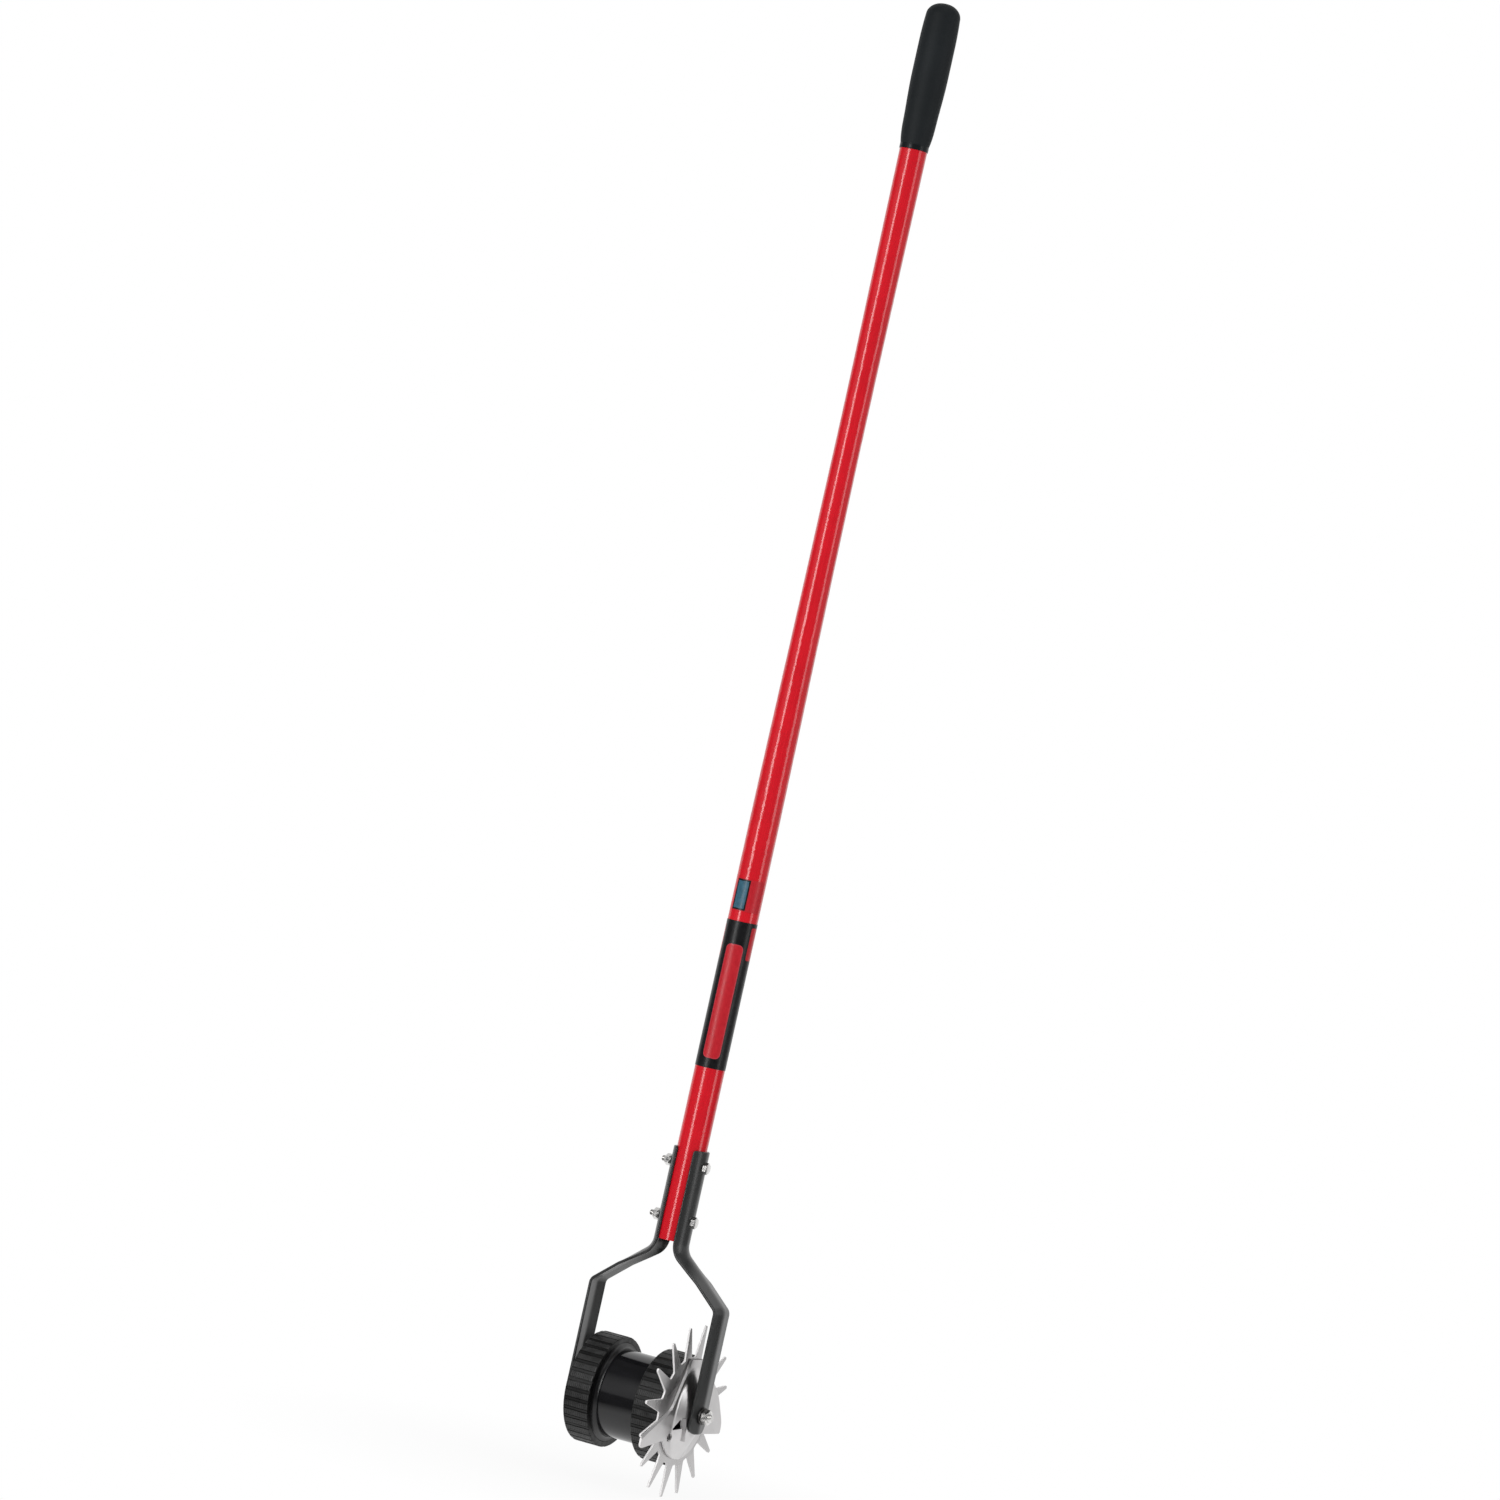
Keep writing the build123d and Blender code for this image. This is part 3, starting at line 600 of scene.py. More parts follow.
def hermite(start, end, steps):
    """Height and radius between two stations, each (height, radius, slope of radius)."""
    z0, r0, m0 = start
    z1, r1, m1 = end
    span = z1 - z0
    line = []
    for i in range(steps):
        t = i / steps
        h00, h10 = 2 * t**3 - 3 * t**2 + 1, t**3 - 2 * t**2 + t
        h01, h11 = -2 * t**3 + 3 * t**2, t**3 - t**2
        line.append((z0 + span * t, h00 * r0 + h10 * span * m0 + h01 * r1 + h11 * span * m1))
    return line


def arc_points(centre, radius, start, end, steps):
    """Points round an arc, as (height, radius), angles in degrees from outwards towards up."""
    angles = [math.radians(start + (end - start) * i / steps) for i in range(steps + 1)]
    return [(centre[0] + radius * math.sin(t), centre[1] + radius * math.cos(t)) for t in angles]


class EDGER_OT_handle(bpy.types.Operator):
    """Finishes the fibreglass handle, the dowel in its foot and the stopper in its top"""

    bl_idname = "edger.handle"
    bl_label = "Handle"

    def execute(self, context):
        coat(red_gelcoat(context.scene.edger_colours), "handle_tube")
        coat(turned_wood(), "clamp_plug")
        coat(plug_plastic(), "top_plug")
        return {"FINISHED"}


class EDGER_OT_grip(bpy.types.Operator):
    """Builds the moulded grip: a thin lip at its foot, a long swelling body with mould seams, and a domed end"""

    bl_idname = "edger.grip"
    bl_label = "Grip"

    LIP, LIP_R, LIP_ROUND = 5.0, 14.15, 0.45
    LIP_TOP_ROUND, LIP_TOP_DROP = 0.2, 0.25
    NECK_R, NECK_SLOPE = 14.0, 0.22
    NECK_FOOT, NECK_FOOT_R = 0.1, 13.95
    NECK_RISE = 0.3
    SWELL = (37.0, 16.5, 0.048)
    HOLD = (74.0, 104.0)
    SHOULDER_DROP, SHOULDER_R, SHOULDER_SLOPE = 13.0, 16.8, -0.073
    DOME_STEPS, DOME_FULLNESS = 24, 0.92
    LIP_STEPS, LIP_TOP_STEPS = 5, 4
    NECK_STEPS, SWELL_STEPS, HOLD_STEPS, SHOULDER_STEPS = 24, 16, 10, 12
    BORE_R, BORE_DEPTH, BORE_BREAK = 13.55, 6.0, 0.2
    SEAM_HALF, SEAM_RISE, SEAM_AT_R = 0.35, 0.10, 16.0
    SEAM_STARTS, SEAM_FADE_R, SEAM_CLEAR = 1.0, 6.0, 0.12
    STEPS = 120

    def profile(self, length, hold_r):
        """The grip's outline from its bore over its lip and body to its end, as (height, radius)."""
        line = [(self.BORE_DEPTH, self.BORE_R), (self.BORE_BREAK, self.BORE_R)]
        line += [(0.0, self.BORE_R + self.BORE_BREAK / 2)]
        line += arc_points((self.LIP_ROUND, self.LIP_R - self.LIP_ROUND), self.LIP_ROUND, -90, 0, self.LIP_STEPS)
        lip_top = (self.LIP - self.LIP_TOP_DROP, self.LIP_R - self.LIP_TOP_ROUND)
        line += arc_points(lip_top, self.LIP_TOP_ROUND, 0, 90, self.LIP_TOP_STEPS)
        line += [(self.LIP + self.NECK_FOOT, self.NECK_FOOT_R)]
        neck = (self.LIP + self.NECK_RISE, self.NECK_R, self.NECK_SLOPE)
        hold_foot, hold_top = ((z, hold_r, 0.0) for z in self.HOLD)
        shoulder = (length - self.SHOULDER_DROP, self.SHOULDER_R, self.SHOULDER_SLOPE)
        line += hermite(neck, self.SWELL, self.NECK_STEPS) + hermite(self.SWELL, hold_foot, self.SWELL_STEPS)
        line += hermite(hold_foot, hold_top, self.HOLD_STEPS) + hermite(hold_top, shoulder, self.SHOULDER_STEPS)
        for i in range(self.DOME_STEPS):
            t = math.radians(90.0 * i / self.DOME_STEPS)
            height = length - self.SHOULDER_DROP * (1 - math.sin(t))
            line.append((height, self.SHOULDER_R * math.cos(t) ** self.DOME_FULLNESS))
        return line

    def seam(self, height, radius, turn, hold_r):
        """How far the mould seam stands out at a place."""
        if height <= self.LIP + self.SEAM_STARTS or radius >= hold_r - self.SEAM_CLEAR:
            return 0.0
        off = abs(math.remainder(turn, math.pi)) * radius
        return self.SEAM_RISE * max(0.0, 1 - off / self.SEAM_HALF) * min(1.0, radius / self.SEAM_FADE_R)

    def execute(self, context):
        low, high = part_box("grip")
        hold_r = high.x / MM
        line = self.profile((high.z - low.z) / MM, hold_r)
        around = turns(self.STEPS)
        for seam in (0.0, math.pi):
            around += [seam + s * self.SEAM_HALF / self.SEAM_AT_R for s in (-1.0, -0.5, 0.5, 1.0)]
        around = sorted({round(t % (2 * math.pi), 6) for t in around})
        rings = []
        for height, radius in line:
            ring = []
            for turn in around:
                r = (radius + self.seam(height, radius, turn, hold_r)) * MM
                ring.append((r * math.cos(turn), r * math.sin(turn), low.z + height * MM))
            rings.append(ring)
        shape = Shape()
        shape.rings(rings)
        shape.cap((len(line) - 1) * len(around), len(around), (0.0, 0.0, high.z))
        rubber = grip_rubber(context.scene.edger_colours, low.z + self.LIP * MM)
        new_piece("cushion_grip", shape, rubber, "frame", ["grip"], sharp=50.0)
        return {"FINISHED"}


class EDGER_OT_labels(bpy.types.Operator):
    """Prints the plain colour panels on the two handle films"""

    bl_idname = "edger.labels"
    bl_label = "Labels"

    def execute(self, context):
        facing = context.scene.edger_studio.azimuth
        coat(band_print(context.scene.edger_colours, facing), "label_band")
        coat(sticker_print(context.scene.edger_colours, facing), "small_label")
        return {"FINISHED"}


class EDGER_OT_arms(bpy.types.Operator):
    """Builds the two strap arms: round the tube, easing to a shallow ridge, bent out and run down, with rolled edges"""

    bl_idname = "edger.arms"
    bl_label = "Fork arms"

    THICK, WIDTH = 2.8, 32.5
    HUG_R = 16.2
    RIDGE_R, RIDGE_TILT = 18.0, math.radians(9.0)
    TOP, TUBE_FOOT, FOOT = 246.0, 156.0, -18.5
    BEND, BEND_R = (16.2, 148.0), 15.0
    SHOULDER, SHOULDER_R = (70.7, 102.4), 10.0
    TOP_CORNER, FOOT_CORNER = 3.0, 11.0
    ACROSS, ROUND = 24, 6
    TUBE_STEPS, BEND_STEPS, RUN_STEPS, END_STEPS = 3, 14, 8, 10
    CLOSEST, AT_POINT, LEAST_EDGE = 1e-3, 1e-3, 0.05
    TABLE_STEP, TABLE_ROWS = 0.1, 180

    def fillet(self, corner, before, after, radius):
        """Points round a corner of the arm's middle line."""
        corner, before, after = Vector(corner), Vector(before), Vector(after)
        inward, outward = (before - corner).normalized(), (after - corner).normalized()
        half = inward.angle(outward) / 2
        start = corner + inward * (radius / math.tan(half))
        centre = corner + (inward + outward).normalized() * (radius / math.sin(half))
        sweep = math.pi - 2 * half
        arm = start - centre
        side = 1.0 if (-inward).cross(outward) > 0 else -1.0
        angles = [side * sweep * i / self.BEND_STEPS for i in range(self.BEND_STEPS + 1)]
        return [centre + Matrix.Rotation(t, 2) @ arm for t in angles]

    def line(self):
        """The arm's middle line from its top to its foot, as (x, height)."""
        top, foot = Vector((self.HUG_R, self.TOP)), Vector((self.SHOULDER[0], self.FOOT))
        tube_foot = Vector((self.HUG_R, self.TUBE_FOOT))
        run = [top.lerp(tube_foot, i / self.TUBE_STEPS) for i in range(self.TUBE_STEPS + 1)]
        run += self.fillet(self.BEND, top, self.SHOULDER, self.BEND_R)
        first = run[-1]
        lower = self.fillet(self.SHOULDER, self.BEND, foot, self.SHOULDER_R)
        run += [first.lerp(lower[0], i / self.RUN_STEPS) for i in range(1, self.RUN_STEPS)] + lower
        last = run[-1]
        return run + [last.lerp(foot, i / self.RUN_STEPS) for i in range(1, self.RUN_STEPS + 1)]

    def marks(self, reach, edge):
        """Distances along the arm where its section is drawn: the line's own points, closer at the rounded ends."""
        total = reach[-1]
        marks = set(reach)
        for i in range(self.END_STEPS + 1):
            share = 1 - math.cos(math.radians(90 * i / self.END_STEPS))
            marks.update(corner * share for corner in (self.TOP_CORNER, edge))
            marks.update(total - corner * share for corner in (self.FOOT_CORNER, edge))
        marks = sorted(m for m in marks if 0 <= m <= total)
        return [m for i, m in enumerate(marks) if i == 0 or m - marks[i - 1] > self.CLOSEST]

    def stations(self, edge):
        """Places along the arm as (point, direction, share of ridge, half-width, rounding of the end)."""
        line = self.line()
        reach = [0.0]
        for a, b in zip(line, line[1:]):
            reach.append(reach[-1] + (b - a).length)
        total = reach[-1]
        ease_from = self.TOP - self.TUBE_FOOT
        middle = (Vector(self.BEND) + Vector(self.SHOULDER)) / 2
        ease_to = min(zip(line, reach), key=lambda pair: (pair[0] - middle).length)[1]
        found = []
        for mark in self.marks(reach, edge):
            k = min(max(i for i, r in enumerate(reach) if r <= mark + 1e-9), len(line) - 2)
            share = (mark - reach[k]) / (reach[k + 1] - reach[k])
            point = line[k].lerp(line[k + 1], share)
            ahead = line[min(k + 1 + (share > 1 - self.AT_POINT), len(line) - 1)]
            behind = line[max(k - (share < self.AT_POINT), 0)]
            way = (ahead - behind).normalized()
            eased = min(1.0, max(0.0, (mark - ease_from) / (ease_to - ease_from)))
            half = self.WIDTH / 2
            for corner, away in ((self.TOP_CORNER, mark), (self.FOOT_CORNER, total - mark)):
                if away < corner:
                    half = self.WIDTH / 2 - corner + math.sqrt(max(0.0, corner**2 - (corner - away) ** 2))
            close = min(mark, total - mark)
            rounded = edge - math.sqrt(max(0.0, edge**2 - (edge - close) ** 2)) if close < edge else 0.0
            found.append((point, way, eased, half, rounded))
        return found

    def tilt(self, s, eased):
        """Lean of the strap's surface at a distance from its middle: round the tube, or a shallow ridge."""
        return (1 - eased) * s / self.HUG_R + eased * min(s / self.RIDGE_R, self.RIDGE_TILT)

    def ridge(self, eased):
        """The strap's middle surface across its width, as a table of (y, drop, tilt) at even steps."""
        step, table = self.TABLE_STEP, [(0.0, 0.0, 0.0)]
        for i in range(1, self.TABLE_ROWS + 1):
            y, drop, _ = table[-1]
            lean = self.tilt((i - 0.5) * step, eased)
            table.append((y + step * math.cos(lean), drop + step * math.sin(lean), self.tilt(i * step, eased)))
        return table

    def section(self, eased, half, rounded, edge):
        """Points round the strap's section, as (y, distance out from the middle line)."""
        table = self.ridge(eased)
        thick, half, edge = self.THICK / 2 - rounded, half - rounded, max(edge - rounded, self.LEAST_EDGE)
        flat = half - edge
        spots = [(flat * math.sin(math.pi * (i / self.ACROSS - 0.5)), thick) for i in range(self.ACROSS + 1)]
        for first in (90, 0):
            up = thick - edge if first else edge - thick
            for i in range(1 if first else 0, self.ROUND + 1):
                turn = math.radians(first - 90 * i / self.ROUND)
                spots.append((flat + edge * math.cos(turn), up + edge * math.sin(turn)))
        spots += [(-s, -w) for s, w in spots]
        ring = []
        for s, out in spots:
            place = abs(s) / self.TABLE_STEP
            k = int(place)
            y, drop, tilt = (a + (b - a) * (place - k) for a, b in zip(table[k], table[k + 1]))
            way = 1.0 if s >= 0 else -1.0
            ring.append((way * (y + out * math.sin(tilt)), out * math.cos(tilt) - drop))
        return ring

    def execute(self, context):
        enamel = black_enamel(context.scene.edger_colours)
        edge = context.scene.edger_sizes.edge / MM
        for side, sign in SIDES:
            rings = []
            for point, way, eased, half, rounded in self.stations(edge):
                out = Vector((-way.y, way.x))
                ring = []
                for y, away in self.section(eased, half, rounded, edge):
                    spot = point + out * away
                    ring.append((sign * spot.x * MM, y * MM, AXLE.z + spot.y * MM))
                rings.append(ring)
            shape = Shape()
            shape.rings(rings)
            count = len(rings[0])
            for start in (0, (len(rings) - 1) * count):
                shape.close(start, count)
            new_piece(f"{side}_strap_arm", shape, enamel, "frame", [f"{side}_fork_arm"], sharp=40.0)
        return {"FINISHED"}


class EDGER_OT_fasteners(bpy.types.Operator):
    """Finishes the clamp bolts, the axle bolt, their nuts and washers"""

    bl_idname = "edger.fasteners"
    bl_label = "Fasteners"

    CLAMP_HEIGHTS = (230.5, 177.0)
    CLAMP_R, CLAMP_FLATS, CLAMP_HEAD, CLAMP_NUT = 3.0, 10.0, 4.0, 5.0
    CLAMP_THREAD, HEAD_OVERLAP = 14.0, 0.5
    LOCK_T, LOCK_INNER, LOCK_OUTER, LOCK_BREAK = 1.6, 3.2, 5.2, 0.2
    LOCK_STEPS, LOCK_GAP, LOCK_TURN = 44, 0.16, math.radians(70)
    LOCK_PITCH, LOCK_FOOT, LOCK_TOP = 0.25, 0.275, 0.15
    STRAP_FACE, CLAMP_TIP = 17.6, 28.7
    AXLE_R, AXLE_FLATS, AXLE_NUT, AXLE_SEAT, AXLE_THREAD = 4.0, 13.0, 6.5, 73.7, 12.5
    ARM_FACE, DOME_R, DOME_H, AXLE_TIP = 72.1, 7.5, 3.0, 83.2
    DOME_STEPS, DOME_RINGS = 64, 9
    NUT_CLEAR = 0.05

    def split_ring(self, shape, at):
        """A spring lock washer: a flattened coil with a gap."""
        rings = []
        for i in range(self.LOCK_STEPS + 1):
            share = i / self.LOCK_STEPS
            turn = self.LOCK_TURN + self.LOCK_GAP + 2 * (math.pi - self.LOCK_GAP) * share
            lift = self.STRAP_FACE + self.LOCK_PITCH * (share - 0.5)
            low, high = lift + self.LOCK_FOOT, lift + self.LOCK_T - self.LOCK_TOP
            outer = self.LOCK_OUTER - self.LOCK_BREAK
            section = [(low, self.LOCK_INNER), (low, outer), (low + self.LOCK_BREAK, self.LOCK_OUTER)]
            section += [(high - self.LOCK_BREAK, self.LOCK_OUTER), (high, outer), (high, self.LOCK_INNER)]
            rings.append([round_x(-x, r, turn, at) for x, r in section])
        start, count = shape.rings(rings), len(rings[0])
        shape.close(start, count)
        shape.close(start + self.LOCK_STEPS * count, count)

    def domed_head(self, shape):
        """The axle bolt's low domed head on the left arm."""
        ball = (self.DOME_R**2 + self.DOME_H**2) / (2 * self.DOME_H)
        outline = [(0.0, self.AXLE_R)]
        for k in range(self.DOME_RINGS):
            radius = self.DOME_R * (1 - k / self.DOME_RINGS)
            outline.append((math.sqrt(ball**2 - radius**2) - (ball - self.DOME_H), radius))
        around = turns(self.DOME_STEPS)
        start = shape.rings([[round_x(-self.ARM_FACE - rise, r, t) for t in around] for rise, r in outline])
        last = start + self.DOME_RINGS * self.DOME_STEPS
        shape.cap(last, self.DOME_STEPS, round_x(-self.ARM_FACE - self.DOME_H, 0.0, 0.0))

    def execute(self, context):
        sizes = context.scene.edger_sizes
        zinc = zinc_plate(context.scene.edger_colours)
        bolts, nuts, locks, axle, nut = (Shape() for _ in range(5))
        clamp_bore, axle_bore = self.CLAMP_R + self.NUT_CLEAR, self.AXLE_R + self.NUT_CLEAR
        root, nut_seat = self.STRAP_FACE + self.HEAD_OVERLAP, -self.STRAP_FACE - self.LOCK_T
        for at in self.CLAMP_HEIGHTS:
            hexagon(bolts, self.STRAP_FACE, self.CLAMP_HEAD, self.CLAMP_FLATS, 0.0, at, 1.0)
            threaded_rod(bolts, -self.CLAMP_TIP, root, self.CLAMP_R, sizes.clamp_pitch / MM, at, self.CLAMP_THREAD)
            hexagon(nuts, nut_seat, self.CLAMP_NUT, self.CLAMP_FLATS, clamp_bore, at, -1.0)
            self.split_ring(locks, at)
        axle_pitch = sizes.axle_pitch / MM
        threaded_rod(axle, self.AXLE_TIP, -self.ARM_FACE, self.AXLE_R, axle_pitch, 0.0, self.AXLE_THREAD)
        self.domed_head(axle)
        hexagon(nut, self.AXLE_SEAT, self.AXLE_NUT, self.AXLE_FLATS, axle_bore, 0.0, 1.0)
        for name, shape, node in (
            ("hex_clamp_bolts", bolts, "clamp_bolts"),
            ("hex_clamp_nuts", nuts, "clamp_nuts"),
            ("split_lock_washers", locks, "clamp_lock_washers"),
            ("domed_axle_bolt", axle, "axle_bolt"),
            ("hex_axle_nut", nut, "axle_nut"),
        ):
            new_piece(name, shape, zinc, "frame", [node], sharp=30.0)
        coat(dark_steel(), "axle_washer")
        return {"FINISHED"}


class EDGER_OT_axle_stack(bpy.types.Operator):
    """Finishes the sleeve, spacers, thrust washer and springs on the axle"""

    bl_idname = "edger.axle_stack"
    bl_label = "Axle stack"

    def execute(self, context):
        coat(drawn_steel(), "axle_sleeve")
        coat(dark_steel(), "left_spacer", "right_spacer", "thrust_washer", "disc_springs")
        return {"FINISHED"}


class EDGER_OT_wheels(bpy.types.Operator):
    """Finishes the moulded wheels, the barrel between them and the bushes"""

    bl_idname = "edger.wheels"
    bl_label = "Wheels and barrel"

    WHEEL_GLOSS, BARREL_GLOSS = 0.34, 0.1

    def execute(self, context):
        colours = context.scene.edger_colours
        coat(black_moulding("wheel_moulding", colours, self.WHEEL_GLOSS), "left_wheel", "right_wheel")
        coat(black_moulding("barrel_moulding", colours, self.BARREL_GLOSS), "barrel")
        coat(bearing_nylon(), "left_bush", "right_bush")
        return {"FINISHED"}


class EDGER_OT_tyres(bpy.types.Operator):
    """Builds the two rubber tyres: blocks with fine lines, narrow bars, grooves and round shoulders"""

    bl_idname = "edger.tyres"
    bl_label = "Tyres"

    SHOULDER, SHOULDER_STEPS = 1.2 * MM, 5
    LINE_WIDTH, LINE_FLOOR = 0.7 * MM, 0.4
    BEAD, FLANK, WHEEL_CLEAR = 0.35 * MM, 1.6 * MM, 0.05 * MM
    # The bars stand lower than the blocks so that the painted groove shade darkens them too.
    BAR_DROP, BAR_FROM = 0.5 * MM, 0.7
    LIP = 1.25
    GROOVE = (
        (-LIP, 0.0), (-1.0, 0.14), (-0.84, 0.92), (-0.6, 1.0),
        (0.6, 1.0), (0.84, 0.92), (1.0, 0.14), (LIP, 0.0),
    )
    BLOCK = (0.06, 0.28, 0.5, 0.72, 0.94)

    def tread(self, sizes, radius):
        """Stations round one pitch: (arc length from the first groove's middle, depth, share of block)."""
        half, depth = sizes.tread_groove / 2, sizes.tread_depth
        second = sizes.tread_bar + sizes.tread_groove
        pitch = 2 * math.pi * radius / sizes.tread_pitches
        stations = []
        for middle, way in ((0.0, 1.0), (second, -1.0)):
            for w, d in self.GROOVE:
                low = self.BAR_DROP if w * way > self.BAR_FROM else 0.0
                stations.append((middle + w * half, max(d * depth, low), 0.0))
        first, last = second + self.LIP * half, pitch - self.LIP * half
        return stations + [(first + (last - first) * share, 0.0, 1.0) for share in self.BLOCK]

    def across(self, sizes, width):
        """Stations across the tyre: (distance, shoulder drop, share of a fine line's depth)."""
        line = []
        for i in range(self.SHOULDER_STEPS):
            t = math.radians(90 * i / self.SHOULDER_STEPS)
            line.append((self.SHOULDER * (1 - math.cos(t)), self.SHOULDER * (1 - math.sin(t)), 0.0))
        far = [(width - x, drop, share) for x, drop, share in reversed(line)]
        half, inner = self.LINE_WIDTH / 2, width - 2 * self.SHOULDER
        for i in range(sizes.tread_lines):
            middle = self.SHOULDER + inner * (i + 0.5) / sizes.tread_lines
            for place, share in ((-1.0, 0.0), (-self.LINE_FLOOR, 1.0), (self.LINE_FLOOR, 1.0), (1.0, 0.0)):
                line.append((middle + half * place, 0.0, share))
        return line + far

    def columns(self, sizes, tread, radius, width, inner):
        """Lines round the tyre, each with a (distance across, radius) at every station of the tread."""
        line_depth = sizes.tread_line_depth
        columns = []
        for x, drop, share in self.across(sizes, width):
            columns.append([(x, radius - max(drop, d) - share * block * line_depth) for _, d, block in tread])
        flank, bead = radius - self.SHOULDER - self.FLANK, inner + self.BEAD
        inside = [(width, flank), (width, bead), (width - self.BEAD, inner)]
        inside += [(self.BEAD, inner), (0.0, bead), (0.0, flank)]
        return columns + [[spot] * len(tread) for spot in inside]

    def execute(self, context):
        sizes = context.scene.edger_sizes
        rubber = tyre_rubber(context.scene.edger_colours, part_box("left_tyre")[1].z - AXLE.z)
        for side, sign in SIDES:
            low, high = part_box(f"{side}_tyre")
            radius, start = (high.z - low.z) / 2, high.x if sign < 0 else low.x
            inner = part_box(f"{side}_wheel")[1].z - AXLE.z + self.WHEEL_CLEAR
            tread = self.tread(sizes, radius)
            columns = self.columns(sizes, tread, radius, high.x - low.x, inner)
            rings = []
            for begin in turns(sizes.tread_pitches):
                for k, (arc, _, _) in enumerate(tread):
                    turn = begin + arc / radius
                    cos, sin = math.cos(turn), math.sin(turn)
                    spots = (column[k] for column in columns)
                    rings.append([(start + sign * x, r * cos, AXLE.z + r * sin) for x, r in spots])
            shape = Shape()
            shape.rings(rings, joined=True)
            new_piece(f"{side}_treaded_tyre", shape, rubber, "roller", [f"{side}_tyre"], sharp=32.0)
        return {"FINISHED"}


class EDGER_OT_cutters(bpy.types.Operator):
    """Builds the stamped star blade with eased edges, and finishes its screws and the stationary shear plate"""

    bl_idname = "edger.cutters"
    bl_label = "Star and shear plate"

    TEETH, PHASE = 16, math.radians(264.0)
    TIP_R, TIP_ROUND, TIP_STEPS = 84.5, 1.8, 6
    ROOT_R, BASE_WIDTH, VALLEY_R, VALLEY_STEPS = 53.0, 14.4, 2.5, 8
    BORE_R, BORE_STEPS = 10.05, 64
    SCREWS, SCREW_R, SCREW_TURN, HEAD_R, HEAD_STEPS = 3, 35.7, math.radians(225.0), 4.2, 32
    FLAT_SIDE = 0.999

    def tooth(self):
        """One tooth's outline from the middle of a valley to the middle of the next, as (along, across)."""
        lean = math.acos(self.TIP_ROUND / self.TIP_R)
        tip = Vector((self.TIP_R - self.TIP_ROUND, 0.0))
        foot = on_circle(self.ROOT_R - self.VALLEY_R, self.BASE_WIDTH / 2 / self.ROOT_R)
        end = tip + on_circle(self.TIP_ROUND, lean)
        flank = (end - foot).normalized()
        normal = Vector((-flank.y, flank.x))
        reach = self.ROOT_R + self.VALLEY_R
        base = foot + normal * self.VALLEY_R
        along = -base.dot(flank) + math.sqrt(base.dot(flank) ** 2 - base.length_squared + reach**2)
        centre = base + flank * along
        start = math.atan2(-centre.y, -centre.x)
        stop = math.atan2(-normal.y, -normal.x)
        sweep = math.remainder(stop - start, 2 * math.pi)
        upper = [end]
        for i in range(self.VALLEY_STEPS, -1, -1):
            upper.append(centre + on_circle(self.VALLEY_R, start + sweep * i / self.VALLEY_STEPS))
        inner_steps = range(1 - self.TIP_STEPS, self.TIP_STEPS)
        point = [tip + on_circle(self.TIP_ROUND, lean * i / self.TIP_STEPS) for i in inner_steps]
        lower = [Vector((p.x, -p.y)) for p in reversed(upper)]
        return lower + point + upper

    def outline(self):
        """The star's outline and its holes, each a list of (y, z) about the axle."""
        star = []
        for turn in turns(self.TEETH):
            star += [Matrix.Rotation(self.PHASE + turn, 2) @ p for p in self.tooth()]
        loops = [star, [on_circle(self.BORE_R, t) for t in turns(self.BORE_STEPS)]]
        for turn in turns(self.SCREWS):
            middle = on_circle(self.SCREW_R, self.SCREW_TURN + turn)
            loops.append([middle + on_circle(self.HEAD_R, t) for t in turns(self.HEAD_STEPS)])
        return loops

    def stamped(self, edge, thick):
        """Fills the outline as a flat curve with eased edges and returns its points and faces."""
        curve = bpy.data.curves.new("star_outline", "CURVE")
        curve.dimensions, curve.fill_mode = "2D", "BOTH"
        curve.extrude, curve.bevel_depth, curve.bevel_resolution = thick / 2 - edge, edge, 2
        curve.offset = -edge
        for loop in self.outline():
            spline = curve.splines.new("POLY")
            spline.points.add(len(loop) - 1)
            spline.use_cyclic_u = True
            for point, spot in zip(spline.points, loop):
                point.co = (spot.x * MM, spot.y * MM, 0.0, 1.0)
        drawn = bpy.data.objects.new("star_outline", curve)
        mesh = bpy.data.meshes.new_from_object(drawn)
        shape = Shape()
        shape.points = [tuple(v.co) for v in mesh.vertices]
        shape.faces = [tuple(f.vertices) for f in mesh.polygons]
        bpy.data.objects.remove(drawn)
        bpy.data.curves.remove(curve)
        bpy.data.meshes.remove(mesh)
        return shape

    def execute(self, context):
        colours, sizes = context.scene.edger_colours, context.scene.edger_sizes
        low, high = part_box("star_blade")
        shape = self.stamped(sizes.blade_edge, high.x - low.x)
        shape.points = [((low.x + high.x) / 2 + z, x, AXLE.z + y) for x, y, z in shape.points]
        steel = star_steel(colours)
        star = new_piece("stamped_star", shape, steel, "roller", ["star_blade"], sharp=30.0)
        for face in star.data.polygons:
            face.use_smooth = abs(face.normal.x) < self.FLAT_SIDE
        coat(plate_steel(colours), "shear_plate")
        coat(zinc_plate(colours), "blade_screws")
        return {"FINISHED"}


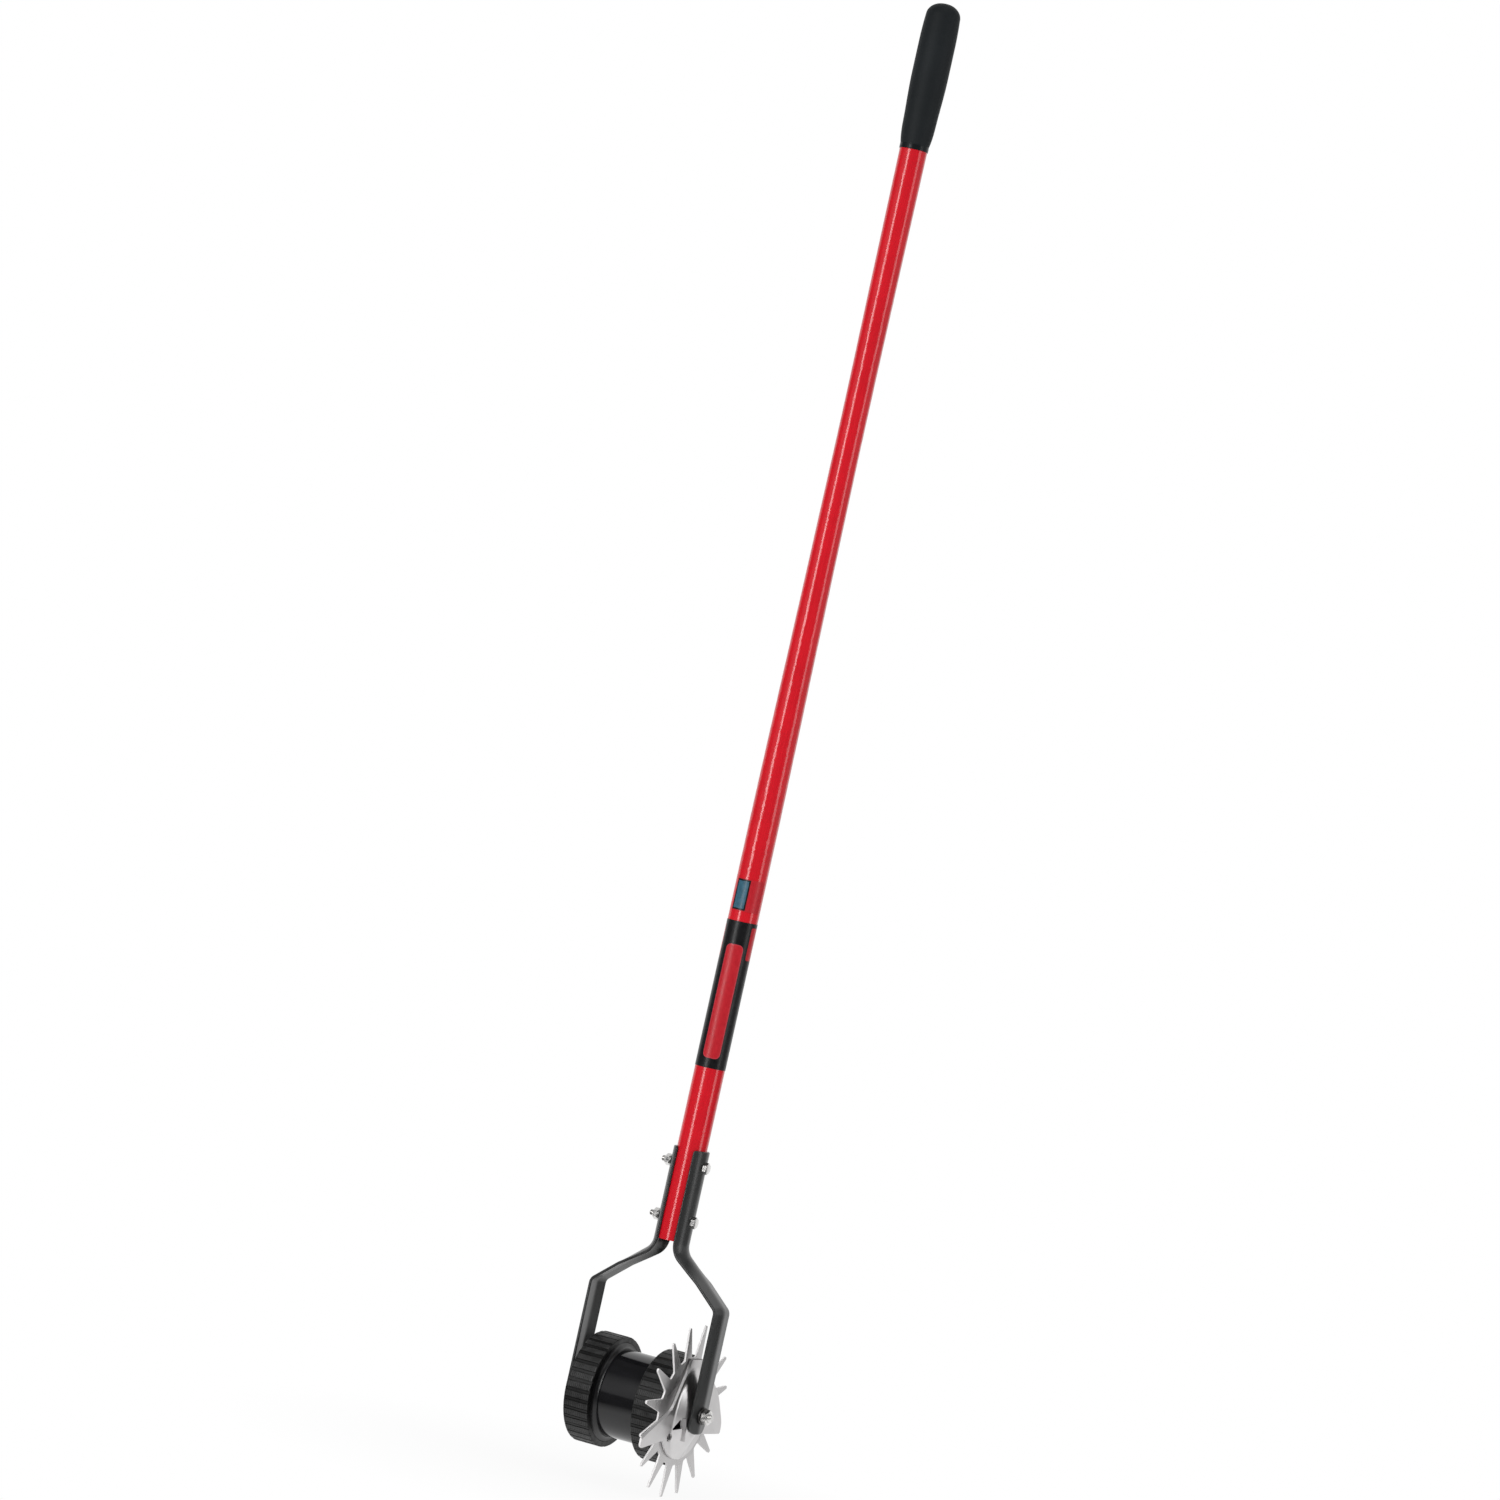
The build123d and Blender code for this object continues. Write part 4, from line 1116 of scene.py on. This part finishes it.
class EDGER_OT_stage(bpy.types.Operator):
    """Sets the white floor, the room's light, the lamps and the camera"""

    bl_idname = "edger.stage"
    bl_label = "Stage"

    FLOOR_HALF, FLOOR_DROP = 14.0, 2 * MM
    FLOOR = {"Base Color": (0.86, 0.86, 0.86, 1.0), "Roughness": 0.9, "Specular IOR Level": 0.0}
    # What shiny pieces mirror: a dim room in front, and walls that brighten between two shares of a direction
    DIM = 0.1
    WALL, WALL_LEVEL = (0.40, 0.56), 1.0
    SIDE_WALL, SIDE_LEVEL = (0.6, 0.97), 0.55
    SOFT_PATCH, PATCH, PATCH_LEVEL = (-0.446, -0.85, 0.28), (0.85, 0.99), 0.6
    # Bright floor near the part and, further out, at the side; distances from the part's middle in metres
    NEAR_FLOOR, SIDE_FLOOR, SIDE_SHARE = (0.12, 0.22), (0.5, 0.6), (0.15, 0.35)
    SHADOW_LEVEL, SHADOW_REACH = 0.92, (0.1, 0.4)
    BESIDE = (math.sqrt(0.5), math.sqrt(0.5), 0.0)
    AIM_RISE, STRIP_AWAY, STRIP_HEIGHT = 0.25, 2.0, 1.9
    LEFT_TURN, LEFT_WIDTH = math.radians(-36.5), 0.45
    RIGHT_TURN, RIGHT_WIDTH = math.radians(62.0), 0.6
    TOP_PLACE, TOP_SIZE = (0.3, -0.4, 2.4), 1.6
    PICTURE_POINTS, SENSOR, CLIP = 1500, 36.0, (0.1, 60.0)

    def white_floor(self, behind):
        """A pale floor, white to the camera and keeping the part's shadow; shiny pieces see it dim in front."""
        skin = Finish("floor_white", self.FLOOR)
        path = skin.node("ShaderNodeLightPath").outputs
        shiny = skin.shiny(path)
        level = skin.vectors("MULTIPLY", skin.place(), (1.0, 1.0, 0.0))["Vector"]
        reach = skin.vectors("LENGTH", level)["Value"]
        way = skin.vectors("NORMALIZE", level)["Vector"]
        back = skin.vectors("DOT_PRODUCT", way, behind)["Value"]
        right = skin.vectors("DOT_PRODUCT", way, self.BESIDE)["Value"]
        side = skin.spread(right, 0.0, 1.0, *self.SIDE_SHARE)
        wide = skin.maths("MULTIPLY", side, skin.spread(reach, 1.0, 0.0, *self.SIDE_FLOOR))
        near = skin.maths("MAXIMUM", wide, skin.spread(reach, 1.0, self.DIM, *self.NEAR_FLOOR))
        mirrored = skin.maths("MAXIMUM", near, skin.spread(back, self.DIM, self.WALL_LEVEL, *self.WALL))
        dimmed = skin.maths("MULTIPLY", shiny, skin.maths("SUBTRACT", 1.0, mirrored))
        light = skin.node("ShaderNodeEmission", {"Color": WHITE, "Strength": skin.maths("SUBTRACT", 1.0, dimmed)})
        lit = skin.spread(reach, self.SHADOW_LEVEL, 1.0, *self.SHADOW_REACH)
        share = skin.maths("MAXIMUM", skin.maths("MULTIPLY", path["Is Camera Ray"], lit), shiny)
        mixed = skin.node("ShaderNodeMixShader", {0: share, 1: skin.shader.outputs[0], 2: light.outputs[0]})
        skin.tree.links.new(mixed.outputs[0], skin.tree.nodes["Material Output"].inputs["Surface"])
        return skin.material

    def floor(self, behind):
        mesh = bpy.data.meshes.new("floor")
        half, height = self.FLOOR_HALF, CAD_LOW.z - self.FLOOR_DROP
        corners = [(x * half, y * half, height) for x, y in ((-1, -1), (1, -1), (1, 1), (-1, 1))]
        mesh.from_pydata(corners, [], [(0, 1, 2, 3)])
        mesh.materials.append(self.white_floor(behind))
        made = bpy.data.objects.new("floor", mesh)
        bpy.context.scene.collection.objects.link(made)

    def room(self, studio, behind):
        """White all round to the camera; shiny pieces see the walls in a dim room, and the rest gets even light."""
        world = bpy.data.worlds.new("studio_room")
        bpy.context.scene.world = world
        world.use_nodes = True
        sky = Wiring(world.node_tree)
        sky.tree.nodes.clear()
        path = sky.node("ShaderNodeLightPath").outputs
        way = sky.node("ShaderNodeTexCoord").outputs["Generated"]
        wall = self.DIM
        for direction, shares, level in (
            (behind, self.WALL, self.WALL_LEVEL),
            (self.BESIDE, self.SIDE_WALL, self.SIDE_LEVEL),
            (self.SOFT_PATCH, self.PATCH, self.PATCH_LEVEL),
        ):
            share = sky.vectors("DOT_PRODUCT", way, direction)["Value"]
            wall = sky.maths("MAXIMUM", wall, sky.spread(share, self.DIM, level, *shares))
        even, mirrored, white = (
            sky.node("ShaderNodeBackground", {"Color": WHITE, "Strength": strength}).outputs[0]
            for strength in (studio.ambient, wall, 1.0)
        )
        unseen = sky.node("ShaderNodeMixShader", {0: sky.shiny(path), 1: even, 2: mirrored}).outputs[0]
        mixed = sky.node("ShaderNodeMixShader", {0: path["Is Camera Ray"], 1: unseen, 2: white}).outputs[0]
        sky.node("ShaderNodeOutputWorld", {"Surface": mixed})

    def lamp(self, name, place, target, width, height, power):
        light = bpy.data.lights.new(name, "AREA")
        light.shape = "RECTANGLE"
        light.size, light.size_y, light.energy = width, height, power
        made = bpy.data.objects.new(name, light)
        made.location = place
        made.rotation_mode = "QUATERNION"
        made.rotation_quaternion = (target - place).to_track_quat("-Z", "Y")
        made.visible_camera = False
        bpy.context.scene.collection.objects.link(made)

    def lamps(self, studio):
        """A tall strip at each side of the camera and a broad lamp overhead."""
        middle = Vector((0.0, 0.0, (CAD_LOW.z + CAD_HIGH.z) / 2))
        aim = middle + Vector((0.0, 0.0, self.AIM_RISE))
        for name, turn, width, power in (
            ("left_strip", self.LEFT_TURN, self.LEFT_WIDTH, studio.left_power),
            ("right_strip", self.RIGHT_TURN, self.RIGHT_WIDTH, studio.right_power),
        ):
            angle = studio.azimuth + turn
            place = aim + Vector((math.sin(angle), -math.cos(angle), 0.0)) * self.STRIP_AWAY
            self.lamp(name, place, aim, width, self.STRIP_HEIGHT, power)
        above = middle + Vector(self.TOP_PLACE)
        self.lamp("top_lamp", above, middle, self.TOP_SIZE, self.TOP_SIZE, studio.top_power)

    def camera(self, studio):
        """Stands the camera so that the axle and the handle fall where the picture has them."""
        turn, roll = studio.azimuth, studio.roll
        back = Vector((math.sin(turn), -math.cos(turn), 0.0))
        right, up = Vector((math.cos(turn), math.sin(turn), 0.0)), Vector((0.0, 0.0, 1.0))
        across = math.cos(roll) * right + math.sin(roll) * up
        upward = math.cos(roll) * up - math.sin(roll) * right
        away = 0.5 / math.tan(studio.field / 2)
        picture = self.PICTURE_POINTS * studio.scale
        offset = Vector((studio.axle_across - 0.5, 0.5 - studio.axle_down, -away)) * picture
        place = AXLE - offset.x * across - offset.y * upward - offset.z * back
        lens = bpy.data.cameras.new("edger_camera")
        lens.sensor_width = self.SENSOR
        lens.lens = self.SENSOR * away
        lens.clip_start, lens.clip_end = self.CLIP
        made = bpy.data.objects.new("edger_camera", lens)
        made.matrix_world = Matrix.Translation(place) @ Matrix((across, upward, back)).transposed().to_4x4()
        bpy.context.scene.collection.objects.link(made)
        bpy.context.scene.camera = made

    def execute(self, context):
        studio = context.scene.edger_studio
        context.scene.view_settings.view_transform = "Standard"
        behind = (-math.sin(studio.azimuth), math.cos(studio.azimuth), 0.0)
        self.floor(behind)
        self.room(studio, behind)
        self.lamps(studio)
        self.camera(studio)
        return {"FINISHED"}


OPERATORS = (
    EDGER_OT_handle,
    EDGER_OT_grip,
    EDGER_OT_labels,
    EDGER_OT_arms,
    EDGER_OT_fasteners,
    EDGER_OT_axle_stack,
    EDGER_OT_wheels,
    EDGER_OT_tyres,
    EDGER_OT_cutters,
    EDGER_OT_stage,
)


class EDGER_PT_panel(bpy.types.Panel):
    """Lists the edger's pieces and settings"""

    bl_idname = "EDGER_PT_panel"
    bl_label = "Rotary lawn edger"
    bl_space_type = "VIEW_3D"
    bl_region_type = "UI"
    bl_category = "Edger"

    def draw(self, context):
        for operator in OPERATORS:
            self.layout.operator(operator.bl_idname)
        for group in (context.scene.edger_colours, context.scene.edger_sizes, context.scene.edger_studio):
            box = self.layout.box()
            for name in group.__annotations__:
                box.prop(group, name)


CLASSES = (EdgerColours, EdgerSizes, EdgerStudio, *OPERATORS, EDGER_PT_panel)


def register():
    for made in CLASSES:
        bpy.utils.register_class(made)
    bpy.types.Scene.edger_colours = PointerProperty(type=EdgerColours)
    bpy.types.Scene.edger_sizes = PointerProperty(type=EdgerSizes)
    bpy.types.Scene.edger_studio = PointerProperty(type=EdgerStudio)


def unregister():
    del bpy.types.Scene.edger_studio
    del bpy.types.Scene.edger_sizes
    del bpy.types.Scene.edger_colours
    for made in reversed(CLASSES):
        bpy.utils.unregister_class(made)


def main():
    register()
    for operator in OPERATORS:
        group, name = operator.bl_idname.split(".")
        getattr(getattr(bpy.ops, group), name)()


if __name__ == "__main__":
    main()
